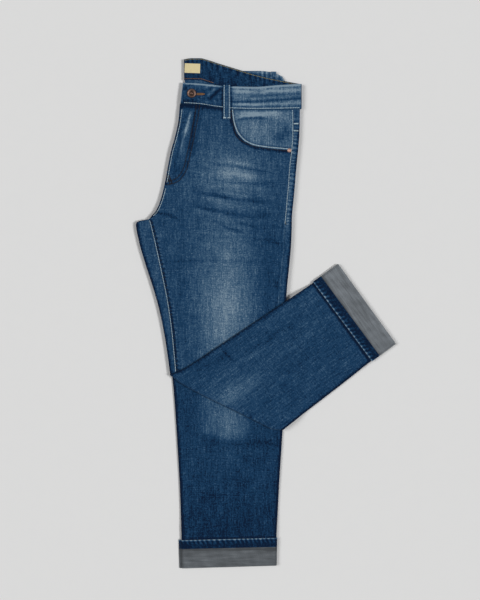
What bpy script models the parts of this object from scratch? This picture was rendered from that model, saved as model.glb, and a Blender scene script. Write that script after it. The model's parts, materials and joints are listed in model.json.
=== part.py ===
"""Slim tapered jeans, folded in half down the middle and laid flat, with the upper leg folded back at the knee.

The model is in metres with +Z up. The garment lies on the plane z = 0, its waist towards +Y, and the origin is
under the middle of its outline. Tables and named sizes are in millimetres.
"""
import math
from collections import namedtuple

import bmesh
import bpy

MM = 0.001
COLLECTION = "folded_jeans"

# Cloth and the flattened legs
CLOTH = 1.2                 # one layer of denim
SEAM = 0.3                  # gap between pieces that are sewn or lie together
LEG_HEIGHT = 4.0            # a flattened leg, two layers with a rounded edge at each side
EDGE_RADIUS = LEG_HEIGHT / 2
RIGHT_LEG_Z = 0.0
LEFT_LEG_Z = LEG_HEIGHT + SEAM
EDGE_FLAP = 20.0            # how far a back panel's hidden side is built in from its rounded edge
EDGE_STEPS = 4              # facets round a rounded edge
LEG_COLUMNS = 10            # columns of cells across a leg
CROTCH_Y = 179.0
YOKE_Y = 350.0
WAIST_Y = 386.0             # a level just under the waistband
FULL_BACKS_Y = -77.0        # below this the back panels are built across their whole width
WRAP = 6.0                  # how far a front panel turns under at the centre front
LEAST_STRIP = 0.6           # narrowest strip of back panel between a rounded edge and its seam
LEAST_COLUMN = 1.0          # narrowest column of a back panel beside its built-in flap
THIGH_LEVELS = (306.5, 276.0, 246.0, 208.0, 194.5, 187.0, CROTCH_Y, 176.5, 170.5, 135.5, 90.0, 56.0, 21.5,
                -29.5, FULL_BACKS_Y)
RIGHT_SHIN_LEVELS = (-119.0, -147.5, -198.0, -248.0, -322.5, -366.0, -378.0, -390.0, -402.0, -414.0, -426.0)

# Knee fold of the left leg: a straight line from the leg's left edge to its right edge
FOLD_START = (-177.5, -118.3)
FOLD_END = (31.7, -224.5)
FOLD_GAP = 0.15             # from the fold's centre line to the nearest cloth
FOLD_HALF = 3.4             # half of the cloth taken up by the bend
FOLD_STEPS = 6
FOLD_APPROACH = 14.0        # lines across the leg follow the fold from this distance
FOLD_BOW = 5.0              # how far the fold bows out in the middle
FOLD_BOW_REACH = 45.0       # the bow dies away over this distance from the fold

# The turned-back leg lies on the thigh, then drops to the floor past the thigh's side
DROP_START = 15.0
DROP_RUN = 32.0

# Turned-up cuffs
CUFF_LIFT = CLOTH + SEAM    # the leg inside a cuff is held off the floor by the cuff's lower wall
CUFF_LIFT_RUN = 60.0
CUFF_LIFT_LEVEL = 2.0       # the leg is level again this far before its cuff's upper edge
CUFF_HEIGHT = 2 * CUFF_LIFT + LEG_HEIGHT
CUFF_MARGIN = 1.5           # a cuff is this much wider than its leg at each side
BAND_PROUD = 0.9            # the hem allowance stands out from the cuff by a second layer
ROLL_STEPS = 4

# Waistband
BACK_BAND = 1.85            # thickness of the back half, and of the right half
FRONT_BAND = 2.45           # the upper front half, which stands a little proud of the front panel
BAND_COLUMNS = 2
BAND_SIDE_REACH = 2.0       # how far the rounded side stands out past the flat halves
WAIST_PARTING = 0.8         # clears the waistband's curved lower edge, which the panels meet in short straights

# Front pocket
POCKET_DIP = 0.6            # the facing lies this much lower than the front panel's edge
FACING_COLUMNS = 6
FACING_PARTING = SEAM + 0.2
FACING_RISE = 20.0          # the facing comes level with the side seam over this distance
FACING_RISE_END = 2.0
FACING_LOW_Y = 319.0        # below this the facing follows the pocket mouth's lower edge
FACING_CORNER = 8.0

# Yokes, and the hidden layers between the two fronts
YOKE_LEFT_Y = 372.0         # a yoke's lower edge at the centre back
YOKE_INSET = 1.0
YOKE_FLAT_END = 40.0        # x where a yoke's flat side meets its rounded edge
YOKE_TOP_Y = 388.0
YOKE_SHARES = (0.0, 0.35, 0.7, 1.0)
INNER_MARGIN = 2.0
INNER_SOFTNESS = 0.8        # height of the rounding at each hidden layer's edge
INNER_GROOVE = 1.5          # depth of the groove between the two layers
INNER_LEVELS = (YOKE_Y - 4.0, 306.5, 276.0, 246.0, 208.0, 194.5, 184.0, 170.5, 135.5, 90.0, 56.0, 21.5, -29.5,
                FULL_BACKS_Y + 1.5)

# Trim
LOOP_THICKNESS = 1.6
LOOP_STEP_RUN = 8.0         # length over which the front loop climbs on to the waistband
LOOP_ARCH = 0.6
FRONT_LOOP_TRIM = 2.0
BACK_LOOP_TRIM = 3.5
BUTTON_RADIUS = 8.7
BUTTON_HEIGHT = 2.8
RIVET_RADIUS = 3.8
RIVET_HEIGHT = 1.0
LABEL_THICKNESS = 0.5
LABEL_BEVEL = 0.15
TURNING_STEPS = 20
TURNING_MERGE = 0.01

# Profiles of radius and height, from the top middle out, down and back to the middle underneath
BUTTON_PROFILE = [(0.0, BUTTON_HEIGHT), (3.0, BUTTON_HEIGHT), (4.0, BUTTON_HEIGHT - 0.5),
                  (5.6, BUTTON_HEIGHT - 0.5), (6.6, BUTTON_HEIGHT), (8.0, BUTTON_HEIGHT - 0.5),
                  (BUTTON_RADIUS, BUTTON_HEIGHT - 1.4), (8.2, 0.6), (6.0, 0.0), (0.0, 0.0)]
RIVET_PROFILE = [(0.0, RIVET_HEIGHT), (1.6, RIVET_HEIGHT), (2.6, RIVET_HEIGHT * 0.8), (RIVET_RADIUS, 0.3),
                 (RIVET_RADIUS, 0.0), (0.0, 0.0)]

# Heights of the waistband's layers and of the thigh's face
RIGHT_BAND_TOP = 2 * BACK_BAND + SEAM
LEFT_BAND_LOW = RIGHT_BAND_TOP + SEAM
LEFT_BAND_INNER = LEFT_BAND_LOW + BACK_BAND
LEFT_BAND_TOP = LEFT_BAND_INNER + SEAM + FRONT_BAND
THIGH_TOP = LEFT_LEG_Z + LEG_HEIGHT

# A leg's outline: y along the leg, then x at its left edge, inseam (or centre front), outseam and right edge
Outline = namedtuple("Outline", "y left inseam outseam right")
HIP_AND_THIGH = [
    Outline(402.0, -161.9, -161.9, 50.5, 65.0),
    Outline(367.5, -166.0, -166.0, 52.0, 64.5),
    Outline(337.0, -172.5, -172.5, 52.0, 63.5),
    Outline(306.5, -181.0, -181.0, 49.5, 61.0),
    Outline(276.0, -187.0, -187.0, 46.0, 58.0),
    Outline(246.0, -192.5, -192.5, 44.0, 55.5),
    Outline(208.0, -203.0, -203.0, 40.5, 52.0),
    Outline(194.5, -209.5, -209.5, 39.5, 50.5),
    Outline(187.0, -216.0, -216.0, 38.5, 50.0),
    Outline(CROTCH_Y, -224.0, -224.0, 38.0, 49.5),
    Outline(176.5, -239.0, -222.4, 37.7, 49.6),
    Outline(170.5, -247.1, -220.5, 37.0, 49.5),
    Outline(135.5, -241.0, -212.0, 35.5, 48.3),
    Outline(90.0, -227.8, -202.0, 31.5, 44.5),
    Outline(56.0, -216.8, -194.7, 28.5, 41.0),
    Outline(21.5, -206.6, -188.0, 25.0, 38.5),
    Outline(-29.5, -195.0, -180.6, 22.0, 36.5),
    Outline(-77.0, -187.0, -175.5, 20.0, 35.0),
]
LEFT_SHIN = [
    Outline(-119.0, -181.0, -171.0, 18.5, 34.0),
    Outline(-172.0, -174.0, -162.0, 17.0, 32.5),
    Outline(-225.0, -171.0, -159.0, 16.0, 31.0),
    Outline(-270.0, -169.0, -157.0, 15.0, 29.0),
    Outline(-377.0, -164.5, -153.0, 12.0, 26.0),
    Outline(-440.0, -162.3, -151.0, 10.0, 23.6),
    Outline(-498.0, -162.0, -151.0, 9.5, 23.4),
]
RIGHT_SHIN = [
    Outline(-119.0, -178.5, -168.0, 19.0, 35.0),
    Outline(-147.5, -175.5, -163.5, 18.5, 34.5),
    Outline(-198.0, -171.8, -159.8, 18.5, 33.3),
    Outline(-248.0, -168.6, -156.6, 16.0, 30.4),
    Outline(-322.5, -164.3, -152.8, 12.0, 25.6),
    Outline(-385.0, -161.8, -150.0, 9.0, 22.4),
    Outline(-430.0, -160.6, -149.0, 7.0, 20.2),
    Outline(-485.0, -159.0, -147.5, 6.0, 19.3),
]
LEFT_LEG = HIP_AND_THIGH + LEFT_SHIN
RIGHT_LEG = HIP_AND_THIGH + RIGHT_SHIN

# A cuff in its leg's unfolded place: y of the band's upper edge, of the seam under it and of the turned edge,
# each at the left and the right
Cuff = namedtuple("Cuff", "band_left band_right seam_left seam_right turn_left turn_right")
RIGHT_CUFF = Cuff(-431.5, -427.0, -448.0, -444.0, -485.3, -480.0)
LEFT_CUFF = Cuff(-439.0, -440.5, -457.5, -458.5, -498.0, -497.0)

# Waistband edges: x along it, then y at the upper and the lower edge
BandPoint = namedtuple("BandPoint", "x upper lower")
FRONT_BAND_EDGES = [
    BandPoint(-158.5, 438.6, 398.6),
    BandPoint(-125.0, 437.0, 396.5),
    BandPoint(-95.0, 433.8, 391.8),
    BandPoint(-62.0, 431.2, 388.5),
    BandPoint(-20.5, 430.5, 387.5),
    BandPoint(27.0, 434.0, 388.0),
    BandPoint(66.0, 436.0, 389.0),
]
LEFT_BACK_EDGES = [
    BandPoint(-155.5, 483.0, 444.0),
    BandPoint(-140.5, 485.3, 444.3),
    BandPoint(-125.0, 485.3, 444.0),
    BandPoint(-111.0, 482.0, 440.0),
    BandPoint(-94.0, 476.5, 434.5),
    BandPoint(-52.0, 463.5, 422.5),
    BandPoint(-16.0, 453.0, 413.5),
    BandPoint(32.5, 442.3, 401.5),
    BandPoint(66.0, 436.0, 390.0),
]
RIGHT_BACK_EDGES = [
    BandPoint(-154.5, 480.0, 440.5),
    BandPoint(-112.0, 478.0, 438.0),
    BandPoint(-77.5, 468.5, 429.0),
    BandPoint(-49.0, 461.5, 421.5),
    BandPoint(-11.0, 461.5, 417.0),
    BandPoint(18.0, 457.0, 409.0),
    BandPoint(27.0, 453.0, 405.0),
    BandPoint(32.5, 449.5, 402.5),
    BandPoint(36.0, 441.5, 401.0),
    BandPoint(66.0, 435.5, 390.0),
]

# Mouth of the front pocket, from the waistband down and across to the side
Point = namedtuple("Point", "x y")
POCKET_MOUTH = [
    Point(-62.5, 402.0),
    Point(-62.0, 386.0),
    Point(-59.0, 364.5),
    Point(-52.0, 345.0),
    Point(-39.5, 330.5),
    Point(-23.0, 322.0),
    Point(1.5, 317.5),
    Point(27.0, 315.0),
    Point(49.0, 313.2),
]

FRONT_LOOP = {"left": -81.3, "right": -67.3, "top": 433.6, "bottom": 369.5, "step": 390.0}
BACK_LOOP = {"left": 9.7, "right": 20.0, "top": 460.5, "bottom": 449.5}
BUTTON_AT = (-141.0, 418.0)
RIVET_AT = (44.5, 309.5)
LABEL = {"left": -154.5, "right": -125.0, "top": 475.0, "bottom": 457.0, "tilt": math.radians(-2.0)}

# Finishes: colour, roughness and how metallic
FINISHES = {
    "denim": ((0.030, 0.085, 0.185), 0.9, 0.0),
    "denim_dark": ((0.012, 0.035, 0.085), 0.9, 0.0),
    "denim_wrong_side": ((0.165, 0.190, 0.225), 0.95, 0.0),
    "blank_label": ((0.700, 0.560, 0.290), 0.7, 0.0),
    "antique_copper": ((0.230, 0.130, 0.075), 0.45, 0.9),
}


def smoothstep(value):
    value = min(max(value, 0.0), 1.0)
    return value * value * (3.0 - 2.0 * value)


def blend(start, end, share):
    return start + (end - start) * share


def read_table(table, key, where, column):
    """A column of a table at a place between its rows. The key falls or rises down the whole table."""
    rising = getattr(table[-1], key) > getattr(table[0], key)
    rows = table if rising else table[::-1]
    for low, high in zip(rows, rows[1:]):
        if where <= getattr(high, key):
            break
    span = getattr(high, key) - getattr(low, key)
    share = (where - getattr(low, key)) / span
    return blend(getattr(low, column), getattr(high, column), share)


# Knee fold and drape

FOLD_LENGTH = math.dist(FOLD_START, FOLD_END)
FOLD_ALONG = ((FOLD_END[0] - FOLD_START[0]) / FOLD_LENGTH, (FOLD_END[1] - FOLD_START[1]) / FOLD_LENGTH)
FOLD_ACROSS = (FOLD_ALONG[1], -FOLD_ALONG[0])
FOLD_CENTRE = LEG_HEIGHT + FOLD_GAP


def fold(x, y, height):
    """Carries a point of the unfolded left leg round the knee fold."""
    along = (x - FOLD_START[0]) * FOLD_ALONG[0] + (y - FOLD_START[1]) * FOLD_ALONG[1]
    past = (x - FOLD_START[0]) * FOLD_ACROSS[0] + (y - FOLD_START[1]) * FOLD_ACROSS[1]
    if past >= FOLD_HALF:
        past = -past
        height = 2 * FOLD_CENTRE - height
    elif past > -FOLD_HALF:
        angle = math.pi * (past + FOLD_HALF) / (2 * FOLD_HALF)
        radius = FOLD_CENTRE - height
        past = -FOLD_HALF + radius * math.sin(angle)
        height = FOLD_CENTRE - radius * math.cos(angle)
    share = min(max(along / FOLD_LENGTH, 0.0), 1.0)
    past += FOLD_BOW * math.sin(math.pi * share) * math.exp(-(past / FOLD_BOW_REACH) ** 2)
    x = FOLD_START[0] + along * FOLD_ALONG[0] + past * FOLD_ACROSS[0]
    y = FOLD_START[1] + along * FOLD_ALONG[1] + past * FOLD_ACROSS[1]
    return x, y, height


def is_turned_back(x, y):
    past = (x - FOLD_START[0]) * FOLD_ACROSS[0] + (y - FOLD_START[1]) * FOLD_ACROSS[1]
    return past > 0


def cuff_lift(y, cuff):
    """How far a leg is raised off the floor near its cuff."""
    start = max(cuff.band_left, cuff.band_right) + CUFF_LIFT_RUN
    return CUFF_LIFT * smoothstep((start - y) / (CUFF_LIFT_RUN - CUFF_LIFT_LEVEL))


def place_left(x, y, height, lift=None):
    """Left leg: the front faces up, and the leg turns back over itself past the knee fold."""
    turned_back = is_turned_back(x, y)
    if lift is None:
        lift = cuff_lift(y, LEFT_CUFF)
    x, y, height = fold(x, y, height)
    z = LEFT_LEG_Z + height + lift
    if turned_back:
        side = read_table(RIGHT_LEG, "y", y, "right")
        z -= (LEFT_LEG_Z + LEG_HEIGHT + SEAM) * smoothstep((x - side - DROP_START) / DROP_RUN)
    return x, y, z


def place_right(x, y, height, lift=None):
    """Right leg: the front faces down on the floor."""
    if lift is None:
        lift = cuff_lift(y, RIGHT_CUFF)
    return x, y, RIGHT_LEG_Z + LEG_HEIGHT - height + lift


# Sections across a leg

Line = namedtuple("Line", "y_left y_right")


def level(y):
    return Line(y, y)


def fold_line(past, leg):
    """A line across the leg at a distance past the knee fold."""
    ends = []
    for column in ("left", "right"):
        y = FOLD_START[1] if column == "left" else FOLD_END[1]
        for _ in range(4):
            x = read_table(leg, "y", y, column)
            along = (x - FOLD_START[0] - past * FOLD_ACROSS[0]) / FOLD_ALONG[0]
            y = FOLD_START[1] + along * FOLD_ALONG[1] + past * FOLD_ACROSS[1]
        ends.append(y)
    return Line(*ends)


def between(first, last, steps):
    """The lines between two others, without those two."""
    return [
        Line(blend(first.y_left, last.y_left, k / steps), blend(first.y_right, last.y_right, k / steps))
        for k in range(1, steps)
    ]


class Section:
    """A straight cut across a leg, which measures places along itself from the leg's left edge."""

    def __init__(self, leg, line):
        self.left = (read_table(leg, "y", line.y_left, "left"), line.y_left)
        self.right = (read_table(leg, "y", line.y_right, "right"), line.y_right)
        self.width = math.dist(self.left, self.right)
        self.inseam = self.crossing(leg, "inseam")
        self.outseam = self.crossing(leg, "outseam")

    def crossing(self, leg, column):
        share = 0.5
        for _ in range(8):
            x = read_table(leg, "y", blend(self.left[1], self.right[1], share), column)
            share = (x - self.left[0]) / (self.right[0] - self.left[0])
        return share * self.width

    def at(self, distance):
        share = distance / self.width
        return blend(self.left[0], self.right[0], share), blend(self.left[1], self.right[1], share)

    def edge_arc(self, side):
        """Outer and inner places round a rounded edge, from the front of the leg to its back."""
        places = []
        for k in range(EDGE_STEPS + 1):
            angle = math.pi * k / EDGE_STEPS
            pair = []
            for radius in (EDGE_RADIUS, EDGE_RADIUS - CLOTH):
                inward = EDGE_RADIUS - radius * math.sin(angle)
                height = EDGE_RADIUS + radius * math.cos(angle)
                pair.append((inward if side == "left" else self.width - inward, height))
            places.append(tuple(pair))
        return places

    def front(self, distance):
        return (distance, LEG_HEIGHT), (distance, LEG_HEIGHT - CLOTH)

    def back(self, distance):
        return (distance, 0.0), (distance, CLOTH)

    def middle_columns(self):
        return [self.width * k / LEG_COLUMNS for k in range(1, LEG_COLUMNS)]


def front_places(section, y, right_end):
    """Places across a front panel: round the centre front, or from the inseam, to its right end."""
    places = [section.back(EDGE_RADIUS + WRAP)]
    places += section.edge_arc("left")[::-1]
    if y < CROTCH_Y:
        start = section.inseam + SEAM / 2
        places[-1] = section.front(start)
    else:
        start = EDGE_RADIUS
    if y < FULL_BACKS_Y:
        places += [section.front(distance) for distance in section.middle_columns()]
    else:
        places += [section.front(blend(start, right_end, k / LEG_COLUMNS)) for k in range(1, LEG_COLUMNS)]
    places.append(section.front(right_end))
    return places


def back_places(section):
    """Places across a back panel: left strip, rounded edge, its hidden or shown side, edge and right strip."""
    left_start = max(section.inseam - SEAM / 2, EDGE_RADIUS + LEAST_STRIP)
    right_start = min(section.outseam + SEAM / 2, section.width - EDGE_RADIUS - LEAST_STRIP)
    places = [section.front(left_start)]
    places += section.edge_arc("left")
    places.append(section.back(EDGE_FLAP))
    first = EDGE_FLAP + LEAST_COLUMN
    last = section.width - EDGE_FLAP - LEAST_COLUMN
    places += [section.back(min(max(distance, first), last)) for distance in section.middle_columns()]
    places.append(section.back(section.width - EDGE_FLAP))
    places += section.edge_arc("right")[::-1]
    places.append(section.front(right_start))
    return places


def set_in_world(section, places, place):
    """Pairs of outer and inner points from places across a section."""
    pairs = []
    for outer, inner in places:
        pairs.append(tuple(place(*section.at(distance), height) for distance, height in (outer, inner)))
    return pairs


# Meshes and objects

def clear_scene():
    for item in list(bpy.data.objects):
        bpy.data.objects.remove(item, do_unlink=True)


def add_finish(piece, finish):
    """Gives a piece its own material."""
    colour, roughness, metallic = FINISHES[finish]
    material = bpy.data.materials.new(piece.name + "_finish")
    material.use_nodes = True
    shader = material.node_tree.nodes["Principled BSDF"]
    shader.inputs["Base Color"].default_value = (*colour, 1.0)
    shader.inputs["Roughness"].default_value = roughness
    shader.inputs["Metallic"].default_value = metallic
    material.diffuse_color = (*colour, 1.0)
    piece.data.materials.append(material)


def add_object(name, mesh, finish):
    piece = bpy.data.objects.new(name, mesh)
    bpy.data.collections[COLLECTION].objects.link(piece)
    add_finish(piece, finish)
    mesh.shade_smooth()
    mesh.set_sharp_from_angle(angle=math.radians(40))
    return piece


def mesh_from(name, build):
    """A closed mesh whose faces point outwards, filled in by build(bm)."""
    mesh = bpy.data.meshes.new(name)
    bm = bmesh.new()
    build(bm)
    bmesh.ops.recalc_face_normals(bm, faces=bm.faces)
    bm.to_mesh(mesh)
    bm.free()
    return mesh


def wall(name, rows, finish, keep=None, closed=False):
    """A wall of cloth lofted through rows of outer and inner points.

    keep(i, j) says whether the cell between rows i and i + 1 and places j and j + 1 is part of the piece. Both
    faces are worked out, because a Solidify modifier would pinch the wall inside the tight fold.
    """
    places = len(rows[0])
    columns = places if closed else places - 1
    cells = {(i, j) for i in range(len(rows) - 1) for j in range(columns) if keep is None or keep(i, j)}

    def build(bm):
        made = {}

        def vertex(i, j, skin):
            key = (i, j % places, skin)
            if key not in made:
                made[key] = bm.verts.new([value * MM for value in rows[i][j % places][skin]])
            return made[key]

        for i, j in sorted(cells):
            corners = ((i, j), (i, j + 1), (i + 1, j + 1), (i + 1, j))
            bm.faces.new([vertex(a, b, 0) for a, b in corners])
            bm.faces.new([vertex(a, b, 1) for a, b in reversed(corners)])
            beyond = ((i - 1, j), (i, (j + 1) % columns if closed else j + 1), (i + 1, j),
                      (i, (j - 1) % columns if closed else j - 1))
            for side in range(4):
                if beyond[side] not in cells:
                    a, b = corners[side], corners[(side + 1) % 4]
                    bm.faces.new((vertex(*b, 0), vertex(*a, 0), vertex(*a, 1), vertex(*b, 1)))

    add_object(name, mesh_from(name, build), finish)


def loft(name, rings, finish):
    """A solid through closed rings of points, capped at both ends."""

    def build(bm):
        loops = [[bm.verts.new([value * MM for value in point]) for point in ring] for ring in rings]
        for low, high in zip(loops, loops[1:]):
            for k in range(len(low)):
                after = (k + 1) % len(low)
                bm.faces.new((low[k], low[after], high[after], high[k]))
        bm.faces.new(loops[0])
        bm.faces.new(loops[-1])

    add_object(name, mesh_from(name, build), finish)


# Leg panels

def leg_end(cuff):
    """Where a leg's cloth stops inside its cuff, just short of the cuff's rolled edge."""
    inside = CUFF_LIFT + SEAM / 2
    return Line(cuff.turn_left + inside, cuff.turn_right + inside)


def left_leg_lines():
    """Lines across the left leg: level down the thigh, then turning to follow the knee fold, then level."""
    pocket = sorted([YOKE_Y] + [point.y for point in POCKET_MOUTH[2:]], reverse=True)
    thigh = [level(y) for y in pocket + list(THIGH_LEVELS)]
    before = fold_line(-FOLD_APPROACH, LEFT_LEG)
    after = fold_line(FOLD_APPROACH, LEFT_LEG)
    end = leg_end(LEFT_CUFF)
    bend = [fold_line(FOLD_HALF * (2 * k / FOLD_STEPS - 1), LEFT_LEG) for k in range(FOLD_STEPS + 1)]
    return thigh + between(thigh[-1], before, 3) + [before] + bend + [after] + between(after, end, 18) + [end]


def right_leg_lines():
    levels = [level(y) for y in (YOKE_Y,) + THIGH_LEVELS + RIGHT_SHIN_LEVELS]
    end = leg_end(RIGHT_CUFF)
    return levels + between(levels[-1], end, 2) + [end]


def y_of(line):
    return (line.y_left + line.y_right) / 2


def pocket_end(section, y):
    """Where the left front's right side is: the pocket mouth above the side seam, and the seam below it."""
    lowest = POCKET_MOUTH[-1].y
    if y < lowest:
        return section.outseam - SEAM / 2
    x = read_table(POCKET_MOUTH, "y", y, "x")
    return min(x - section.left[0], section.outseam - SEAM / 2)


def under_band(row, edges):
    """A row moved along the leg to lie just under a waistband's lower edge."""
    moved = []
    for pair in row:
        moved.append(tuple((x, read_table(edges, "x", x, "lower") - WAIST_PARTING, z) for x, y, z in pair))
    return moved


def front_panel(name, leg, lines, place, right_end):
    lines = [level(WAIST_Y)] + lines
    rows = []
    for line in lines:
        y = y_of(line)
        section = Section(leg, line)
        rows.append(set_in_world(section, front_places(section, y, right_end(section, y)), place))
    rows[0] = under_band(rows[0], FRONT_BAND_EDGES)
    wrap_columns = EDGE_STEPS + 1

    def keep(i, j):
        return j >= wrap_columns or y_of(lines[i + 1]) >= CROTCH_Y

    wall(name, rows, "denim", keep)


def back_panel(name, leg, lines, place):
    """The back panel: strips at both edges, joined across where it shows or folds."""
    lines = [line for line in lines if y_of(line) < YOKE_Y - SEAM]
    lines = [level(YOKE_Y - SEAM)] + lines
    sections = [Section(leg, line) for line in lines]
    rows = [set_in_world(section, back_places(section), place) for section in sections]
    left_strip = EDGE_STEPS + 2
    right_strip = len(rows[0]) - 1 - left_strip

    def keep(i, j):
        if y_of(lines[i]) <= FULL_BACKS_Y:
            return True
        if j < left_strip:
            return y_of(lines[i]) < CROTCH_Y
        return j >= right_strip

    wall(name, rows, "denim", keep)


def yoke(name, leg, place, band_edges):
    """A back yoke: hidden side across the leg, rounded side edge and the strip on the front."""
    rows = []
    for share in YOKE_SHARES:
        row = []
        for k in range(LEG_COLUMNS):
            x = blend(band_edges[0].x + YOKE_INSET, YOKE_FLAT_END, k / (LEG_COLUMNS - 1))
            top = read_table(band_edges, "x", x, "lower") - WAIST_PARTING
            row.append((x, blend(blend(YOKE_LEFT_Y, YOKE_Y, k / (LEG_COLUMNS - 1)), top, share)))
        y = blend(YOKE_Y, YOKE_TOP_Y, share)
        section = Section(leg, level(y))
        pairs = [tuple(place(*point, height) for height in (0.0, CLOTH)) for point in row]
        edge = section.edge_arc("right")[::-1] + [section.front(section.outseam + SEAM / 2)]
        rows.append(pairs + set_in_world(section, edge, place))
    wall(name, rows, "denim")


def pocket_facing():
    """The cloth inside the pocket mouth, a little lower than the front panel's edge, level with the side seam."""

    def row_along(points, end):
        row = []
        for x, y in points:
            share = (x - end + FACING_RISE + FACING_RISE_END) / FACING_RISE
            top = THIGH_TOP - POCKET_DIP * (1.0 - smoothstep(share))
            row.append(((x, y, top), (x, y, top - CLOTH)))
        return row

    rows = []
    for y in [point.y for point in POCKET_MOUTH[1:6]] + [FACING_LOW_Y]:
        section = Section(LEFT_LEG, level(y))
        start = read_table(POCKET_MOUTH, "y", y, "x") + FACING_PARTING
        end = section.left[0] + section.outseam - SEAM / 2
        points = [(blend(start, end, k / FACING_COLUMNS), y) for k in range(FACING_COLUMNS + 1)]
        rows.append(row_along(points, end))
    rows[0] = under_band(rows[0], FRONT_BAND_EDGES)
    lowest = []
    end -= FACING_PARTING
    for k in range(FACING_COLUMNS + 1):
        x = blend(start + FACING_CORNER, end, k / FACING_COLUMNS)
        lowest.append((x, read_table(POCKET_MOUTH, "x", x, "y") + FACING_PARTING))
    rows.append(row_along(lowest, end))
    wall("left_pocket_facing", rows, "denim")


def inner_layers():
    """The hidden stretches of both backs, as one rounded solid with a groove between its two layers."""
    low = CLOTH + SEAM
    high = THIGH_TOP - POCKET_DIP - CLOTH - SEAM
    groove = (low + high) / 2
    profile = ((2.0, low), (0.5, low + INNER_SOFTNESS), (0.0, (low + groove) / 2), (INNER_GROOVE, groove),
               (0.0, (high + groove) / 2), (0.5, high - INNER_SOFTNESS), (2.0, high))
    rings = []
    for y in INNER_LEVELS:
        left = read_table(LEFT_LEG, "y", y, "left" if y < CROTCH_Y else "inseam")
        right = read_table(LEFT_LEG, "y", y, "right")
        left += EDGE_FLAP + INNER_MARGIN
        right -= EDGE_FLAP + INNER_MARGIN
        ring = [(left + inset, y, z) for inset, z in profile]
        ring += [(right - inset, y, z) for inset, z in reversed(profile)]
        rings.append(ring)
    loft("inner_layers", rings, "denim")


# Cuffs

def ring_pairs(section, outer_heights, inner_heights, insets, place):
    """Outer and inner points round a cuff, from two flattened rings set in from the cuff's own sides."""
    rings = []
    for (low, high), inset in ((outer_heights, insets[0]), (inner_heights, insets[1])):
        margin = CUFF_MARGIN - inset
        radius = (high - low) / 2
        ring = []
        for side in ("left", "right"):
            centre = radius - margin if side == "left" else section.width - radius + margin
            turn = math.pi / 2 if side == "left" else -math.pi / 2
            for k in range(EDGE_STEPS + 1):
                angle = turn + math.pi * k / EDGE_STEPS
                ring.append((centre + radius * math.cos(angle), low + radius + radius * math.sin(angle)))
            if side == "left":
                ring += [(section.width * k / LEG_COLUMNS, low) for k in range(1, LEG_COLUMNS)]
            else:
                ring += [(section.width * k / LEG_COLUMNS, high) for k in range(LEG_COLUMNS - 1, 0, -1)]
        rings.append(ring)
    pairs = []
    for outer, inner in zip(*rings):
        pairs.append(tuple(place(*section.at(distance), height, 0.0) for distance, height in (outer, inner)))
    return pairs


def cuff_pieces(side, leg, cuff, place):
    """A turned-up cuff with its rolled lower edge, and the doubled hem allowance at its upper edge.

    Heights are in the leg's own space, where the front is high. Both cuffs lie with the front down, so the hem
    allowance stands proud on the low side.
    """
    low = LEG_HEIGHT - CUFF_HEIGHT
    high = LEG_HEIGHT
    inside = (low + CLOTH, high - CLOTH)
    roll = CUFF_LIFT - SEAM / 2
    top = Line(cuff.seam_left - SEAM / 2, cuff.seam_right - SEAM / 2)
    bottom = Line(cuff.turn_left + roll, cuff.turn_right + roll)
    rows = []
    for line in [top] + between(top, bottom, 3) + [bottom]:
        rows.append(ring_pairs(Section(leg, line), (low, high), inside, (0.0, CLOTH), place))
    for k in range(1, ROLL_STEPS + 1):
        angle = math.pi * k / ROLL_STEPS
        skins = []
        for skin, radius in enumerate((roll, roll - CLOTH)):
            inset = roll - radius * math.cos(angle)
            past = radius * math.sin(angle)
            section = Section(leg, Line(bottom.y_left - past, bottom.y_right - past))
            heights = (low + inset, high - inset)
            ring = ring_pairs(section, heights, heights, (inset, inset), place)
            skins.append([pair[skin] for pair in ring])
        rows.append(list(zip(*skins)))
    wall(side + "_cuff", rows, "denim_wrong_side", closed=True)

    upper = Line(cuff.band_left, cuff.band_right)
    lower = Line(cuff.seam_left + SEAM / 2, cuff.seam_right + SEAM / 2)
    rows = []
    for line in [upper] + between(upper, lower, 2) + [lower]:
        rows.append(ring_pairs(Section(leg, line), (low - BAND_PROUD, high), inside, (0.0, CLOTH), place))
    wall(side + "_cuff_band", rows, "denim_dark", closed=True)


# Waistband

def band_rows(front_edges, back_edges, front_outer, back_outer, middle):
    """Rows of outer and inner points along half a waistband, from the centre front round the side to the back.

    front_outer and back_outer are the heights of the outer faces of its two halves, which lie on each other at
    the height middle.
    """
    up = 1.0 if front_outer > back_outer else -1.0
    side_x = front_edges[-1].x

    def across(lower, upper, outer_x, outer_z, inner_x, inner_z):
        row = []
        for k in range(BAND_COLUMNS + 1):
            y = blend(lower, upper, k / BAND_COLUMNS)
            row.append(((outer_x, y, outer_z), (inner_x, y, inner_z)))
        return row

    front_inner = middle + up * SEAM / 2
    back_inner = middle - up * SEAM / 2
    rows = [across(p.lower, p.upper, p.x, front_outer, p.x, front_inner) for p in front_edges]
    for k in range(1, EDGE_STEPS):
        angle = math.pi / 2 - math.pi * k / EDGE_STEPS
        outer_radius = abs((front_outer if angle > 0 else back_outer) - middle)
        rise = up * math.sin(angle)
        reach = math.cos(angle)
        share = k / EDGE_STEPS
        lower = blend(front_edges[-1].lower, back_edges[-1].lower, share)
        upper = blend(front_edges[-1].upper, back_edges[-1].upper, share)
        rows.append(across(lower, upper, side_x + BAND_SIDE_REACH * reach, middle + outer_radius * rise,
                           side_x + SEAM / 2 * reach, middle + SEAM / 2 * rise))
    rows += [across(p.lower, p.upper, p.x, back_outer, p.x, back_inner) for p in reversed(back_edges)]
    return rows


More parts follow.
